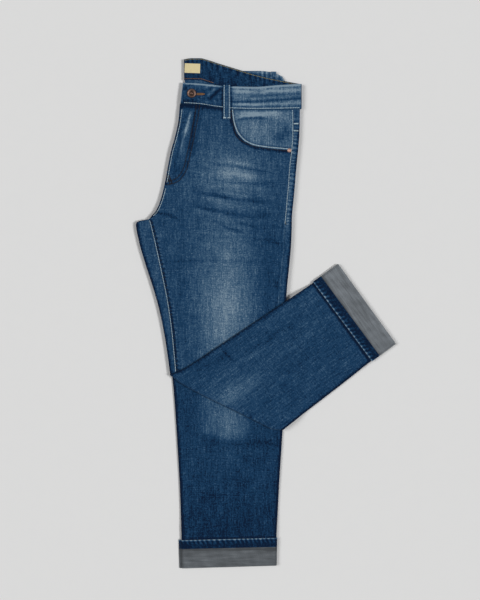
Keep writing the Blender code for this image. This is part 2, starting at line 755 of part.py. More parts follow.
def waistbands():
    """Both halves of the waistband."""
    right = band_rows(FRONT_BAND_EDGES, RIGHT_BACK_EDGES, 0.0, RIGHT_BAND_TOP, BACK_BAND + SEAM / 2)
    left = band_rows(FRONT_BAND_EDGES, LEFT_BACK_EDGES, LEFT_BAND_TOP, LEFT_BAND_LOW, LEFT_BAND_INNER + SEAM / 2)
    wall("right_waistband", right, "denim")
    wall("left_waistband", left, "denim")


# Trim

def belt_loop(name, spec, heights):
    """A belt loop: a narrow strip that follows heights, a list of y and the height of its underside."""
    rows = []
    for y, z in heights:
        row = []
        for k in range(3):
            x = blend(spec["left"], spec["right"], k / 2)
            row.append(((x, y, z + LOOP_THICKNESS), (x, y, z)))
        rows.append(row)
    wall(name, rows, "denim_dark")


def turned(name, profile, at, z, finish):
    """A turned solid: a profile of radius and height, spun about its own axis with a Screw modifier."""
    mesh = bpy.data.meshes.new(name)
    points = [(radius * MM, 0.0, height * MM) for radius, height in profile]
    mesh.from_pydata(points, [(k, k + 1) for k in range(len(points) - 1)], [])
    piece = add_object(name, mesh, finish)
    piece.location = (at[0] * MM, at[1] * MM, z * MM)
    screw = piece.modifiers.new("turn", "SCREW")
    screw.axis = "Z"
    screw.steps = TURNING_STEPS
    screw.render_steps = TURNING_STEPS
    screw.use_merge_vertices = True
    screw.merge_threshold = TURNING_MERGE * MM
    screw.use_smooth_shade = True


def label():
    bpy.ops.mesh.primitive_cube_add(size=1.0)
    piece = bpy.context.active_object
    piece.name = "waistband_label"
    width = (LABEL["right"] - LABEL["left"]) * MM
    depth = (LABEL["top"] - LABEL["bottom"]) * MM
    piece.data.transform(((width, 0, 0, 0), (0, depth, 0, 0), (0, 0, LABEL_THICKNESS * MM, 0), (0, 0, 0, 1)))
    centre_x = (LABEL["left"] + LABEL["right"]) / 2
    centre_y = (LABEL["top"] + LABEL["bottom"]) / 2
    piece.location = (centre_x * MM, centre_y * MM, (LEFT_BAND_INNER + SEAM + LABEL_THICKNESS / 2) * MM)
    piece.rotation_euler.z = LABEL["tilt"]
    for collection in list(piece.users_collection):
        collection.objects.unlink(piece)
    bpy.data.collections[COLLECTION].objects.link(piece)
    add_finish(piece, "blank_label")
    bevel = piece.modifiers.new("soft edge", "BEVEL")
    bevel.width = LABEL_BEVEL * MM
    bevel.segments = 1


def trim():
    top = LEFT_BAND_TOP + SEAM
    lower = THIGH_TOP + SEAM
    loop = FRONT_LOOP
    belt_loop("front_belt_loop", loop, [
        (loop["bottom"], lower),
        (loop["step"] - LOOP_STEP_RUN, lower),
        (loop["step"], top),
        ((loop["step"] + loop["top"]) / 2, top + LOOP_ARCH),
        (loop["top"] - FRONT_LOOP_TRIM, top),
    ])
    back_loop_z = RIGHT_BAND_TOP + SEAM
    belt_loop("right_back_belt_loop", BACK_LOOP, [(BACK_LOOP["bottom"], back_loop_z),
                                                 (BACK_LOOP["top"] - BACK_LOOP_TRIM, back_loop_z)])
    turned("button", BUTTON_PROFILE, BUTTON_AT, top, "antique_copper")
    turned("pocket_rivet", RIVET_PROFILE, RIVET_AT, lower, "antique_copper")
    label()


def main():
    clear_scene()
    bpy.context.scene.collection.children.link(bpy.data.collections.new(COLLECTION))

    left_lines = left_leg_lines()
    right_lines = right_leg_lines()
    front_panel("left_front", LEFT_LEG, left_lines, place_left, pocket_end)
    front_panel("right_front", RIGHT_LEG, right_lines, place_right, lambda section, y: section.outseam - SEAM / 2)
    back_panel("left_back", LEFT_LEG, left_lines, place_left)
    back_panel("right_back", RIGHT_LEG, right_lines, place_right)
    yoke("left_yoke", LEFT_LEG, place_left, LEFT_BACK_EDGES)
    yoke("right_yoke", RIGHT_LEG, place_right, RIGHT_BACK_EDGES)
    pocket_facing()
    inner_layers()
    cuff_pieces("right", RIGHT_LEG, RIGHT_CUFF, place_right)
    cuff_pieces("left", LEFT_LEG, LEFT_CUFF, place_left)
    waistbands()
    trim()


main()
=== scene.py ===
"""Folded slim tapered jeans: cloth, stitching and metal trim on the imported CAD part.

Tables and named sizes are in millimetres, in the same frame as the CAD part. Meshes are in metres.
"""
import json
import math
from collections import namedtuple

import bmesh
import bpy
import mathutils
import numpy as np
from bpy.props import FloatProperty, FloatVectorProperty, PointerProperty
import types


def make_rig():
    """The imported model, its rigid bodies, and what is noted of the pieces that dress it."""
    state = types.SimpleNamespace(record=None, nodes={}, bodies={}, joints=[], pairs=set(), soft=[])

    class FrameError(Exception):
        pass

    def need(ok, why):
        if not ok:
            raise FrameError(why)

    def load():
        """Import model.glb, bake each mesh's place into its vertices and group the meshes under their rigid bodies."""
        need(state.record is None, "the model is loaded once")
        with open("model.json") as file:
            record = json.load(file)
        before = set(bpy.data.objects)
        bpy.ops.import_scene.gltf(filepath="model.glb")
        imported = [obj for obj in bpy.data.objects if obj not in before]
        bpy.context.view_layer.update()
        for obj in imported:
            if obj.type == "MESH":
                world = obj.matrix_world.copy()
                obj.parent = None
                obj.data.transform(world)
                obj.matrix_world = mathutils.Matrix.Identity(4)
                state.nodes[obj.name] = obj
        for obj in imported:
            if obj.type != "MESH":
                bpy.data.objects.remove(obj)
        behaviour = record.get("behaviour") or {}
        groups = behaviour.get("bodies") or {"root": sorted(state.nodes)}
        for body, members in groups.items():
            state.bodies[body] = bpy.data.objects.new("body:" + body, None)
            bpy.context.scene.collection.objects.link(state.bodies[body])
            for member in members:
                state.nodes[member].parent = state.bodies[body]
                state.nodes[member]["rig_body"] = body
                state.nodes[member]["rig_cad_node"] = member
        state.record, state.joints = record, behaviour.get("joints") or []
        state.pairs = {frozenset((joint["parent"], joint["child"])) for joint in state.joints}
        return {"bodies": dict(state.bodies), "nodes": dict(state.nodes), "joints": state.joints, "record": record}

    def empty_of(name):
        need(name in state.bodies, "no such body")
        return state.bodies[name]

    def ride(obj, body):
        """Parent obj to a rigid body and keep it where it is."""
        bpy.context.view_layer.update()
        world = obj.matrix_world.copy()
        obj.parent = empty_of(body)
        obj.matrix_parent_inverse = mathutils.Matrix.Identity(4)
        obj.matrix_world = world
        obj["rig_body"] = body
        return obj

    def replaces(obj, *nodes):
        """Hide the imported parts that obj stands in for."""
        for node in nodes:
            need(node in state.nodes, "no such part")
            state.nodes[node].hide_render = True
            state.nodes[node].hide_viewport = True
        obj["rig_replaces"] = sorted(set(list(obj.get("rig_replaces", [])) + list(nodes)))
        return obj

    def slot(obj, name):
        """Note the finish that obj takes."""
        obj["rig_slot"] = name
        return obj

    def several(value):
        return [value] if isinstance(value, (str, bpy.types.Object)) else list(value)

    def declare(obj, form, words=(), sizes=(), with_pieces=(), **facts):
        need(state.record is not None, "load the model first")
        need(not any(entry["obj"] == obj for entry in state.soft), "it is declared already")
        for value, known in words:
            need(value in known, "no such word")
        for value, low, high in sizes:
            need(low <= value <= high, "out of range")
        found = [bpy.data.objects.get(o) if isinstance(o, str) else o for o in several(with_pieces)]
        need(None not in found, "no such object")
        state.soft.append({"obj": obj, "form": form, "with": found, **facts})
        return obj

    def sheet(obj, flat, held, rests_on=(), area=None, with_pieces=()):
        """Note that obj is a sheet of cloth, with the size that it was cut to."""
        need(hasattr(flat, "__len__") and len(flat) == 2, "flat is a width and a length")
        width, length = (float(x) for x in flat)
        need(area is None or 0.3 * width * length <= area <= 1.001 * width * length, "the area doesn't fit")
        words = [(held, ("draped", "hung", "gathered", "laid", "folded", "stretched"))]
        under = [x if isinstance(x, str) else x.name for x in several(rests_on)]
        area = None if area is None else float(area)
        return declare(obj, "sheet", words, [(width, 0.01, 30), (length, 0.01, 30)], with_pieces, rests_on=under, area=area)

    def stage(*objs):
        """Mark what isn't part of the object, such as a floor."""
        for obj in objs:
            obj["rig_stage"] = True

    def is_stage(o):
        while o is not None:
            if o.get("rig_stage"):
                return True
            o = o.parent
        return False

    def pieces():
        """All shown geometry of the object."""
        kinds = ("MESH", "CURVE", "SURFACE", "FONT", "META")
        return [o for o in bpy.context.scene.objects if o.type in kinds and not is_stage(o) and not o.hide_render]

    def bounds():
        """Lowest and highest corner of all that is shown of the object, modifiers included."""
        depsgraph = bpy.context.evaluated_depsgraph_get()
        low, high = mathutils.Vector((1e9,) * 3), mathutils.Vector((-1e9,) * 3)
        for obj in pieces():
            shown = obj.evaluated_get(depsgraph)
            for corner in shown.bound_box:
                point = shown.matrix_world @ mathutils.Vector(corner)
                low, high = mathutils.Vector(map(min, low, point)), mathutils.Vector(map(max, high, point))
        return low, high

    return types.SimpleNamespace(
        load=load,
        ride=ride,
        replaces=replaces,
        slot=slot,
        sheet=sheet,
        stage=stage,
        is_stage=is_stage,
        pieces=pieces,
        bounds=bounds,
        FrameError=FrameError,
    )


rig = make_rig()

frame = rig.load()
CAD_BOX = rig.bounds()

bl_info = {
    "name": "Folded slim tapered jeans",
    "version": (1, 0, 0),
    "blender": (4, 5, 0),
    "location": "3D View > Sidebar > Jeans",
    "description": "Makes the denim, stitching and metal trim of a folded pair of jeans",
    "category": "Add Mesh",
}

MM = 0.001
SIZE_FILE = "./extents.json"

# Cloth and the flattened legs, as in the CAD part
CLOTH = 1.2
SEAM = 0.3
LEG_HEIGHT = 4.0
EDGE_RADIUS = 2.0
LEFT_LEG_Z = LEG_HEIGHT + SEAM
EDGE_FLAP = 20.0
CROTCH_Y = 179.0
YOKE_Y = 350.0
WAIST_Y = 386.0
FULL_BACKS_Y = -77.0
WRAP = 6.0
EDGE_STEPS = 8

FOLD_START = (-177.5, -118.3)
FOLD_END = (31.7, -224.5)
FOLD_HALF = 3.4
FOLD_BOW_REACH = 45.0
FOLD_CENTRE = LEG_HEIGHT + 0.15
DROP_START = 15.0
DROP_RUN = 32.0

# How far the knee fold bows out along its length
Bow = namedtuple("Bow", "share out")
FOLD_BOW = [Bow(0.0, 1.0), Bow(0.078, 5.0), Bow(0.27, 7.0), Bow(0.63, 5.6), Bow(0.9, 4.8), Bow(1.0, -3.0)]

CUFF_LIFT = CLOTH + SEAM
CUFF_LIFT_RUN = 60.0
CUFF_HEIGHT = 2 * CUFF_LIFT + LEG_HEIGHT
CUFF_MARGIN = 1.5
BAND_PROUD = 0.9
CUFF_COLUMNS = 110

BACK_BAND = 1.85
FRONT_BAND = 2.45
WAIST_PARTING = 0.8
POCKET_DIP = 0.6
LOOP_THICKNESS = 1.6
BUTTON_RADIUS = 8.7
BUTTON_HEIGHT = 2.8
RIVET_RADIUS = 3.8
RIVET_HEIGHT = 1.0
LABEL_THICKNESS = 0.5

RIGHT_BAND_TOP = 2 * BACK_BAND + SEAM
LEFT_BAND_LOW = RIGHT_BAND_TOP + SEAM
LEFT_BAND_INNER = LEFT_BAND_LOW + BACK_BAND
LEFT_BAND_TOP = LEFT_BAND_INNER + SEAM + FRONT_BAND
THIGH_TOP = LEFT_LEG_Z + LEG_HEIGHT
RELIEF_END_Y = 391.0        # the front's creases and puckers die away just under the waistband
STRIPS_TONE = 0.42
STREAK_GAIN = 1.3
HEM_WIDTH = 9.0
FLY_LOW_Y = 240.0
POCKET_LOW_Y = 300.0
MOUTH_LOW_Y = 306.0
FOLD_MARGIN = 14.0
YOKE_LEFT = -153.5
YOKE_LEFT_Y = 372.0
YOKE_RIGHT = 40.0
LEAST_STRIP = 0.6
EDGE_COLUMNS = (6.0, 11.0, 15.5)
ROLL_STEPS = 8
BAND_PROFILE = (0.35, 0.7, 0.95, 1.0, 1.0, 1.0, 1.0, 0.98, 0.9, 0.6)

# Finishes: the slant of the twill's ribs, how deep each surface is in metres, and the waistband's height on
# its UV map, in metres too
TWILL_SLANT = math.radians(27)
WEAVE_DEPTH = 0.0005
TWIST_DEPTH = 0.0001
LABEL_WEAVE_DEPTH = 0.00015
GRAIN_DEPTH = 0.00008
WAISTBAND_CUT = 0.041

# Stitching: how far each row lies from its seam, in millimetres, and the bar tacks' stitches, in metres
THREAD_PROUD = 0.12
SEAM_STITCH = 1.3
OUTSEAM_STITCH = 0.9
CENTRE_STITCH = 4.0
# a row of dark navy stitches runs beside the inseam, along the dark line there
NAVY_ROW_STITCH = 5.0
FLY_ROWS_APART = 6.5
BUTTONHOLE_Y = 416.6
TACK_PITCH = 0.0006
TACK_WIDTH = 0.0006
ACROSS = math.pi / 2
DARK_TACKS = [((-188.0, 262.0), (-182.0, 246.0)), ((-184.0, 262.0), (-178.0, 246.0)),
              ((-64.0, 384.0), (-70.0, 384.0)), ((37.2, 175.0), (37.6, 169.0))]

# Where the picture's middle is, in metres, and which way both lights travel
PICTURE_CENTRE = (-0.0492, 0.0254)
KEY_TRAVEL = (-0.650, 0.100, -0.753)
SECOND_TRAVEL = (0.70, -0.08, -0.71)


def rows_of(kind, *rows):
    """A table's rows as named tuples."""
    return [kind(*row) for row in rows]


# A leg's outline: y along the leg, then x at its left edge, inseam (or centre front), outseam and right edge
Outline = namedtuple("Outline", "y left inseam outseam right")
HIP_AND_THIGH = rows_of(
    Outline, (402.0, -161.9, -161.9, 50.5, 65.0), (367.5, -166.0, -166.0, 52.0, 64.5),
    (337.0, -172.5, -172.5, 52.0, 63.5), (306.5, -181.0, -181.0, 49.5, 61.0),
    (276.0, -187.0, -187.0, 46.0, 58.0), (246.0, -192.5, -192.5, 44.0, 55.5),
    (208.0, -203.0, -203.0, 40.5, 52.0), (194.5, -209.5, -209.5, 39.5, 50.5),
    (187.0, -216.0, -216.0, 38.5, 50.0), (CROTCH_Y, -224.0, -224.0, 38.0, 49.5),
    (176.5, -239.0, -222.4, 37.7, 49.6), (170.5, -247.1, -220.5, 37.0, 49.5),
    (135.5, -241.0, -212.0, 35.5, 48.3), (90.0, -227.8, -202.0, 31.5, 44.5),
    (56.0, -216.8, -194.7, 28.5, 41.0), (21.5, -206.6, -188.0, 25.0, 38.5),
    (-29.5, -195.0, -180.6, 22.0, 36.5), (-77.0, -187.0, -175.5, 20.0, 35.0))
LEFT_SHIN = rows_of(
    Outline, (-119.0, -181.0, -171.0, 18.5, 34.0), (-172.0, -174.0, -162.0, 17.0, 32.5),
    (-225.0, -171.0, -159.0, 16.0, 31.0), (-270.0, -169.0, -157.0, 15.0, 29.0),
    (-377.0, -164.5, -153.0, 12.0, 26.0), (-440.0, -162.3, -151.0, 10.0, 23.6),
    (-498.0, -162.0, -151.0, 9.5, 23.4))
RIGHT_SHIN = rows_of(
    Outline, (-119.0, -178.5, -168.0, 19.0, 35.0), (-147.5, -175.5, -163.5, 18.5, 34.5),
    (-198.0, -171.8, -159.8, 18.5, 33.3), (-248.0, -168.6, -156.6, 16.0, 30.4),
    (-322.5, -164.3, -152.8, 12.0, 25.6), (-385.0, -161.8, -150.0, 9.0, 22.4),
    (-430.0, -160.6, -149.0, 7.0, 20.2), (-485.0, -159.0, -147.5, 6.0, 19.3))

# Where a cuff's band, seam and turned edge are at both ends, the length of its cut, how far its lower half
# shows past the upper one at the left, and how much lighter its cloth is
Cuff = namedtuple("Cuff", "band_left band_right seam_left seam_right turn_left turn_right cut slip tint")
RIGHT_CUFF = Cuff(-431.5, -427.0, -448.0, -444.0, -485.3, -480.0, 0.340, 6.5, -0.06)
LEFT_CUFF = Cuff(-439.0, -440.5, -457.5, -458.5, -498.0, -497.0, 0.375, 0.0, 0.26)

BandPoint = namedtuple("BandPoint", "x upper lower")
FRONT_BAND_EDGES = rows_of(
    BandPoint, (-158.5, 438.6, 398.6), (-125.0, 437.0, 396.5), (-95.0, 433.8, 391.8), (-62.0, 431.2, 388.5),
    (-20.5, 430.5, 387.5), (27.0, 434.0, 388.0), (66.0, 436.0, 389.0))
LEFT_BACK_EDGES = rows_of(
    BandPoint, (-155.5, 483.0, 444.0), (-140.5, 485.3, 444.3), (-125.0, 485.3, 444.0), (-111.0, 482.0, 440.0),
    (-94.0, 476.5, 434.5), (-52.0, 463.5, 422.5), (-16.0, 453.0, 413.5), (32.5, 442.3, 401.5),
    (66.0, 436.0, 390.0))
RIGHT_BACK_EDGES = rows_of(
    BandPoint, (-154.5, 480.0, 440.5), (-112.0, 478.0, 438.0), (-77.5, 468.5, 429.0), (-49.0, 461.5, 421.5),
    (-11.0, 461.5, 417.0), (18.0, 457.0, 409.0), (27.0, 453.0, 405.0), (32.5, 449.5, 402.5),
    (36.0, 441.5, 401.0), (66.0, 435.5, 390.0))

Point = namedtuple("Point", "x y")
POCKET_MOUTH = rows_of(
    Point, (-62.5, 402.0), (-62.0, 386.0), (-59.0, 364.5), (-52.0, 345.0), (-39.5, 330.5), (-23.0, 322.0),
    (1.5, 317.5), (27.0, 315.0), (49.0, 313.2))
POCKET_HEM = [(-69.0, 386.0), (-64.4, 371.0), (-60.0, 353.5), (-55.9, 336.2), (-43.7, 326.5), (-25.5, 318.2),
              (8.7, 312.3), (45.0, 308.4)]
FLY_STITCH = [(-126.0, 395.0), (-128.5, 375.0), (-133.5, 351.0), (-138.0, 326.5), (-144.0, 300.0),
              (-149.0, 278.0), (-156.5, 262.5), (-165.0, 252.5), (-177.0, 246.5), (-187.5, 244.0)]

Patch = namedtuple("Patch", "left right top bottom")
FRONT_LOOP = Patch(-81.3, -67.3, 433.6, 369.5)
FRONT_LOOP_CUT = 0.0155
FRONT_LOOP_STEP_Y = 390.0
BACK_LOOP = Patch(9.7, 20.0, 460.0, 449.5)
BACK_LOOP_CUT = 0.012
BUTTON_AT = (-141.0, 418.0)
RIVET_AT = (44.5, 309.5)
LABEL = Patch(-154.5, -125.0, 475.0, 457.0)
LABEL_TILT = math.radians(-2.0)

# Soft ridges and troughs: start, end, half width, height and how far the line bows sideways
Crease = namedtuple("Crease", "start end width height bow")
THIGH_CREASES = rows_of(
    Crease, ((-120, 292), (15, 273), 6.0, 0.9, 3.0), ((-110, 283), (12, 266), 4.5, -0.5, 3.0),
    ((-112, 265), (22, 256), 6.0, 0.7, -2.0), ((-110, 254), (24, 247), 4.0, -0.4, -3.0),
    ((-140, 242), (6, 221), 7.0, 1.0, -4.0), ((-138, 232), (9, 211), 5.0, -0.55, -4.0),
    ((-158, 222), (15, 196), 7.0, 0.9, -8.0), ((-158, 213), (18, 185), 5.0, -0.5, -10.0),
    ((-92, 178), (-40, 163), 6.0, 0.7, -2.0), ((-89, 170), (-43, 155), 4.0, -0.5, -2.0),
    ((-56, 182), (4, 169), 5.0, 0.7, -2.0), ((-55, 173), (2, 160), 4.0, -0.45, -2.0),
    ((-32, 152), (30, 138), 6.0, 0.5, 0.0), ((-201, 103), (12, 101), 7.0, 0.4, 3.0),
    ((-201, 97), (12, 96), 4.0, -0.25, 3.0), ((-222, 199), (-160, 186), 6.0, 0.9, 6.0),
    ((-217, 189), (-165, 178), 3.5, -0.55, 6.0), ((-142, 380), (-152, 346), 3.2, 0.8, 0.0),
    ((-151, 352), (-165, 292), 3.2, 0.7, 0.0), ((-185, 225), (-150, 120), 12.0, 0.6, 4.0),
    ((-100, 340), (-96, 300), 14.0, 0.5, 0.0), ((-20, 120), (10, 0), 14.0, 0.5, 6.0),
    ((-165, 60), (-150, -60), 12.0, 0.4, 0.0), ((-100, 60), (-85, -60), 18.0, 0.4, 4.0))
FLAP_CREASES = rows_of(
    Crease, ((-80, -62), (-64, -92), 4.0, 0.8, 0.0), ((-86, -66), (-70, -92), 2.2, -0.6, 0.0),
    ((-120, -150), (20, -52), 9.0, 0.7, 4.0), ((-90, -170), (60, -60), 10.0, 0.6, -4.0),
    ((-60, -180), (40, -118), 7.0, 0.7, 3.0), ((-20, -40), (120, 50), 10.0, 0.5, -3.0),
    ((10, -90), (150, 0), 9.0, 0.5, 4.0))
SHIN_CREASES = rows_of(
    Crease, ((-22, -239), (30, -247), 5.0, 0.7, 2.0), ((-21, -246), (28, -254), 3.5, -0.5, 2.0),
    ((-120, -250), (-110, -330), 12.0, 0.6, 4.0), ((-50, -262), (-58, -380), 14.0, 0.7, -5.0),
    ((-110, -345), (-60, -352), 7.0, 0.4, 2.0), ((-60, -318), (10, -326), 7.0, 0.4, 2.0),
    ((-130, -400), (-30, -392), 9.0, 0.5, -3.0), ((-20, -370), (-4, -430), 9.0, 0.4, 0.0))
FACING_CREASES = rows_of(
    Crease, ((-62, 371), (10, 375), 5.0, 0.35, 4.0), ((-60, 365), (4, 370), 3.0, -0.35, 3.0),
    ((-20, 352), (46, 326), 9.0, 0.3, 0.0))

# Fading and wear: start, end, half width, how much lighter or darker, and bow
BAND_STREAKS = rows_of(
    Crease, ((-162, 404), (-128, 402), 4.0, -0.26, 0.0), ((-158, 438), (-161, 398), 2.6, 0.34, 0.0),
    ((-84, 430), (-108, 406), 3.4, -0.36, 0.0), ((-91, 433), (-115, 409), 2.8, 0.30, 0.0),
    ((-148, 436), (-90, 433), 2.2, 0.30, 0.0), ((-126, 422), (-98, 400), 2.4, -0.20, 0.0),
    ((-132, 429), (-104, 431), 3.0, 0.20, 0.0), ((-122, 405), (-92, 402), 3.0, 0.16, 0.0),
    ((-160, 426), (-150, 428), 3.0, -0.20, 0.0), ((-66, 424), (-20, 421), 3.0, 0.16, 0.0),
    ((-10, 424), (60, 421), 2.6, 0.20, 0.0), ((-60, 398), (-10, 396), 3.0, 0.16, 0.0))
THIGH_STREAKS = rows_of(
    Crease, ((-111, 284), (13, 266), 4.0, -0.22, 3.0), ((-110, 255), (25, 247), 4.0, -0.15, -3.0),
    ((-140, 233), (9, 211), 5.0, -0.22, -4.0), ((-112, 231), (-72, 221), 6.0, -0.10, 0.0),
    ((-160, 214), (18, 185), 5.0, -0.18, -10.0), ((-90, 170), (-43, 155), 4.0, -0.20, -2.0),
    ((-56, 174), (4, 160), 4.0, -0.16, -2.0), ((-32, 145), (32, 131), 6.0, -0.14, 0.0),
    ((-108, 145), (-64, 143), 4.0, -0.10, 0.0), ((-203, 98), (9, 96), 4.0, -0.10, 3.0),
    ((-217, 189), (-165, 177), 3.5, -0.26, 6.0), ((-105, 288), (-18, 280), 8.0, 0.08, 0.0),
    ((-100, 270), (-5, 261), 8.0, 0.06, 0.0), ((-127, 220), (-40, 212), 6.0, 0.05, 0.0),
    ((-100, 211), (-5, 201), 6.0, 0.05, 0.0), ((-127, 193), (-58, 173), 6.0, 0.06, 0.0),
    ((-142, 384), (-153, 343), 3.8, 0.42, 0.0), ((-151, 356), (-164, 300), 3.0, 0.30, 0.0),
    ((-152, 386), (-166, 330), 4.5, -0.18, 0.0), ((-134, 386), (-145, 300), 4.2, -0.20, 0.0),
    ((-158, 335), (-176, 275), 5.0, -0.12, 0.0), ((-170, 395), (-135, 392), 5.0, -0.12, 0.0),
    ((-150, 290), (-178, 262), 9.0, -0.16, 0.0))
FLAP_STREAKS = rows_of(
    Crease, ((-84, -64), (-63, -93), 1.7, -0.24, 0.0), ((-100, -177), (0, -115), 13.0, 0.06, 0.0),
    ((-120, -150), (20, -52), 5.0, 0.08, 4.0), ((-20, -40), (120, 50), 6.0, 0.06, -3.0),
    ((-40, -80), (60, -10), 6.0, -0.06, 0.0), ((-150, -120), (-60, -66), 7.0, -0.06, 0.0),
    ((10, -120), (150, -20), 8.0, -0.05, 0.0))
SHIN_STREAKS = rows_of(
    Crease, ((-22, -243), (29, -251), 4.5, -0.12, 2.0), ((-125, -246), (30, -249), 6.0, -0.10, 0.0),
    ((-126, -234), (-84, -240), 8.0, -0.10, 0.0), ((-66, -318), (-30, -324), 7.0, -0.06, 0.0),
    ((-124, -346), (-82, -350), 7.0, -0.06, 0.0), ((-72, -180), (-70, -300), 14.0, 0.08, 0.0))
FACING_STREAKS = rows_of(
    Crease, ((-61, 365.5), (4, 370.5), 2.0, -0.42, 3.0), ((-60, 370.5), (4, 375.5), 2.4, 0.20, 3.0),
    ((-50, 381), (30, 381), 7.0, 0.30, 0.0), ((-38, 354), (6, 347), 11.0, 0.06, 0.0),
    ((-25, 362), (50, 352), 7.0, -0.06, 3.0), ((12, 330), (50, 346), 13.0, -0.26, 0.0))

# Broad faded or dark areas: centre, half sizes across and along, turn in degrees and amount
Spot = namedtuple("Spot", "centre across along turn amount")
THIGH_SPOTS = rows_of(
    Spot, ((-58, 264), 56, 40, 0, 0.29), ((-80, 245), 70, 70, 0, 0.11), ((-76, 130), 46, 56, 0, 0.20),
    ((-76, 10), 52, 86, 0, 0.42), ((-98, -62), 34, 36, 0, 0.10), ((6, 40), 26, 130, 0, -0.12),
    ((-160, -20), 24, 110, 0, -0.06), ((-100, 330), 60, 50, 0, 0.04), ((-140, 400), 30, 10, 0, -0.12),
    ((-60, 395), 12, 10, 0, -0.14))
FLAP_SPOTS = rows_of(
    Spot, ((-64, -152), 26, 56, -54, 0.24), ((40, -60), 34, 60, -54, 0.03), ((120, 10), 40, 60, -54, 0.04))
SHIN_SPOTS = rows_of(
    Spot, ((-72, -205), 22, 24, 0, 0.08), ((-75, -420), 60, 40, 0, -0.05), ((-140, -330), 20, 90, 0, 0.03))


def measure(name, description, default, low, high):
    """A size that the user can change, in metres."""
    return FloatProperty(name=name, description=description, default=default, min=low, max=high,
                         unit="LENGTH")


def strength(name, description, default, high):
    return FloatProperty(name=name, description=description, default=default, min=0.0, max=high,
                         subtype="FACTOR")


def colour(name, description, default):
    return FloatVectorProperty(name=name, description=description, default=default, subtype="COLOR", size=3,
                               min=0, max=1)


class JeansCloth(bpy.types.PropertyGroup):
    cell: measure("Cell size", "Size of the cells that the cloth is built from", 0.0028, 0.002, 0.01)
    crease: strength("Crease strength", "How high the creases stand", 1.0, 1.5)
    pucker: measure("Seam pucker", "Height of the puckers beside the seams", 0.00022, 0.0, 0.0006)


class JeansStitching(bpy.types.PropertyGroup):
    pitch: measure("Stitch pitch", "Distance from one stitch to the next", 0.0031, 0.002, 0.006)
    length: measure("Stitch length", "Length of the thread that shows", 0.0029, 0.001, 0.005)
    width: measure("Thread width", "Width of the thread", 0.0013, 0.0003, 0.002)


class JeansColours(bpy.types.PropertyGroup):
    deep: colour("Deep denim", "Unfaded denim", (0.0008, 0.0095, 0.0340))
    navy: colour("Navy denim", "Lightly washed denim", (0.0042, 0.0330, 0.0880))
    washed: colour("Washed denim", "Washed denim", (0.0100, 0.0500, 0.1220))
    faded: colour("Faded denim", "Faded denim", (0.0600, 0.1280, 0.2140))
    worn: colour("Worn denim", "Denim worn almost white", (0.2300, 0.3200, 0.4000))
    wrong_side: colour("Wrong side", "Grey wrong side of the denim", (0.1220, 0.1350, 0.1480))
    light_thread: colour("Light thread", "Pale topstitching", (0.5000, 0.6400, 0.7000))
    tobacco_thread: colour("Tobacco thread", "Brown stitching of fly and pocket", (0.0140, 0.0100, 0.0110))
    orange_thread: colour("Orange thread", "Buttonhole and waistband stitching", (0.2100, 0.1050, 0.0420))
    gold_thread: colour("Gold thread", "Stitching along the waistband's top edge", (0.3100, 0.2700, 0.1100))
    label: colour("Label", "Bare woven label", (0.7200, 0.6200, 0.3500))
    copper: colour("Antique copper", "Button and rivet", (0.1300, 0.0800, 0.0640))


class JeansStage(bpy.types.PropertyGroup):
    floor: colour("Floor", "Colour of the plain floor", (0.8000, 0.8000, 0.7970))
    key: strength("Key light", "Strength of the light from the right", 1.84, 10.0)
    second: strength("Second light", "Strength of the softer light from the left", 1.28, 10.0)
    fill: strength("Fill light", "Strength of the even light all round", 0.149, 5.0)
    scale: measure("Picture height", "Length along the garment that the picture takes in", 1.14, 0.5, 3.0)


class JeansSettings(bpy.types.PropertyGroup):
    cloth: PointerProperty(type=JeansCloth)
    stitching: PointerProperty(type=JeansStitching)
    colours: PointerProperty(type=JeansColours)
    stage: PointerProperty(type=JeansStage)


def settings():
    return bpy.context.scene.jeans


# Numbers and tables

def smoothstep(value):
    value = np.clip(value, 0.0, 1.0)
    return value * value * (3.0 - 2.0 * value)


def blend(start, end, share):
    return start + (end - start) * share


def bell(value, width):
    """1 at nought, falling smoothly away past the width on both sides."""
    return np.exp(-(value / width) ** 2)


def ridges(value, *lines):
    """Soft lines across a value, each with its place, half width and amount."""
    return sum(amount * bell(value - at, width) for at, width, amount in lines)


def stacked(*values):
    """Values side by side in the last axis, as a grid's points or UV places."""
    return np.stack(np.broadcast_arrays(*values), axis=-1)


def smooth_through(keys, values):
    """A smooth function through points, which doesn't overshoot between them."""
    order = np.argsort(keys)
    keys = np.asarray(keys, float)[order]
    values = np.asarray(values, float)[order]
    steps = np.diff(keys)
    slopes = np.diff(values) / steps
    tangents = np.zeros_like(values)
    tangents[0], tangents[-1] = slopes[0], slopes[-1]
    same_way = slopes[:-1] * slopes[1:] > 0
    weights = (2 * steps[1:] + steps[:-1], steps[1:] + 2 * steps[:-1])
    with np.errstate(divide="ignore", invalid="ignore"):
        mean = (weights[0] + weights[1]) / (weights[0] / slopes[:-1] + weights[1] / slopes[1:])
    tangents[1:-1] = np.where(same_way, mean, 0.0)

    def read(where):
        where = np.asarray(where, float)
        k = np.clip(np.searchsorted(keys, where) - 1, 0, len(steps) - 1)
        share = (where - keys[k]) / steps[k]
        inside = np.clip(share, 0.0, 1.0)
        a, b = inside * inside, inside * inside * inside
        curve = ((2 * b - 3 * a + 1) * values[k] + (b - 2 * a + inside) * steps[k] * tangents[k]
                 + (3 * a - 2 * b) * values[k + 1] + (b - a) * steps[k] * tangents[k + 1])
        return curve + (share - inside) * steps[k] * np.where(share > 1, tangents[k + 1], tangents[k])

    return read


def table_curves(table, key):
    keys = [getattr(row, key) for row in table]
    return {column: smooth_through(keys, [getattr(row, column) for row in table])
            for column in table[0]._fields if column != key}


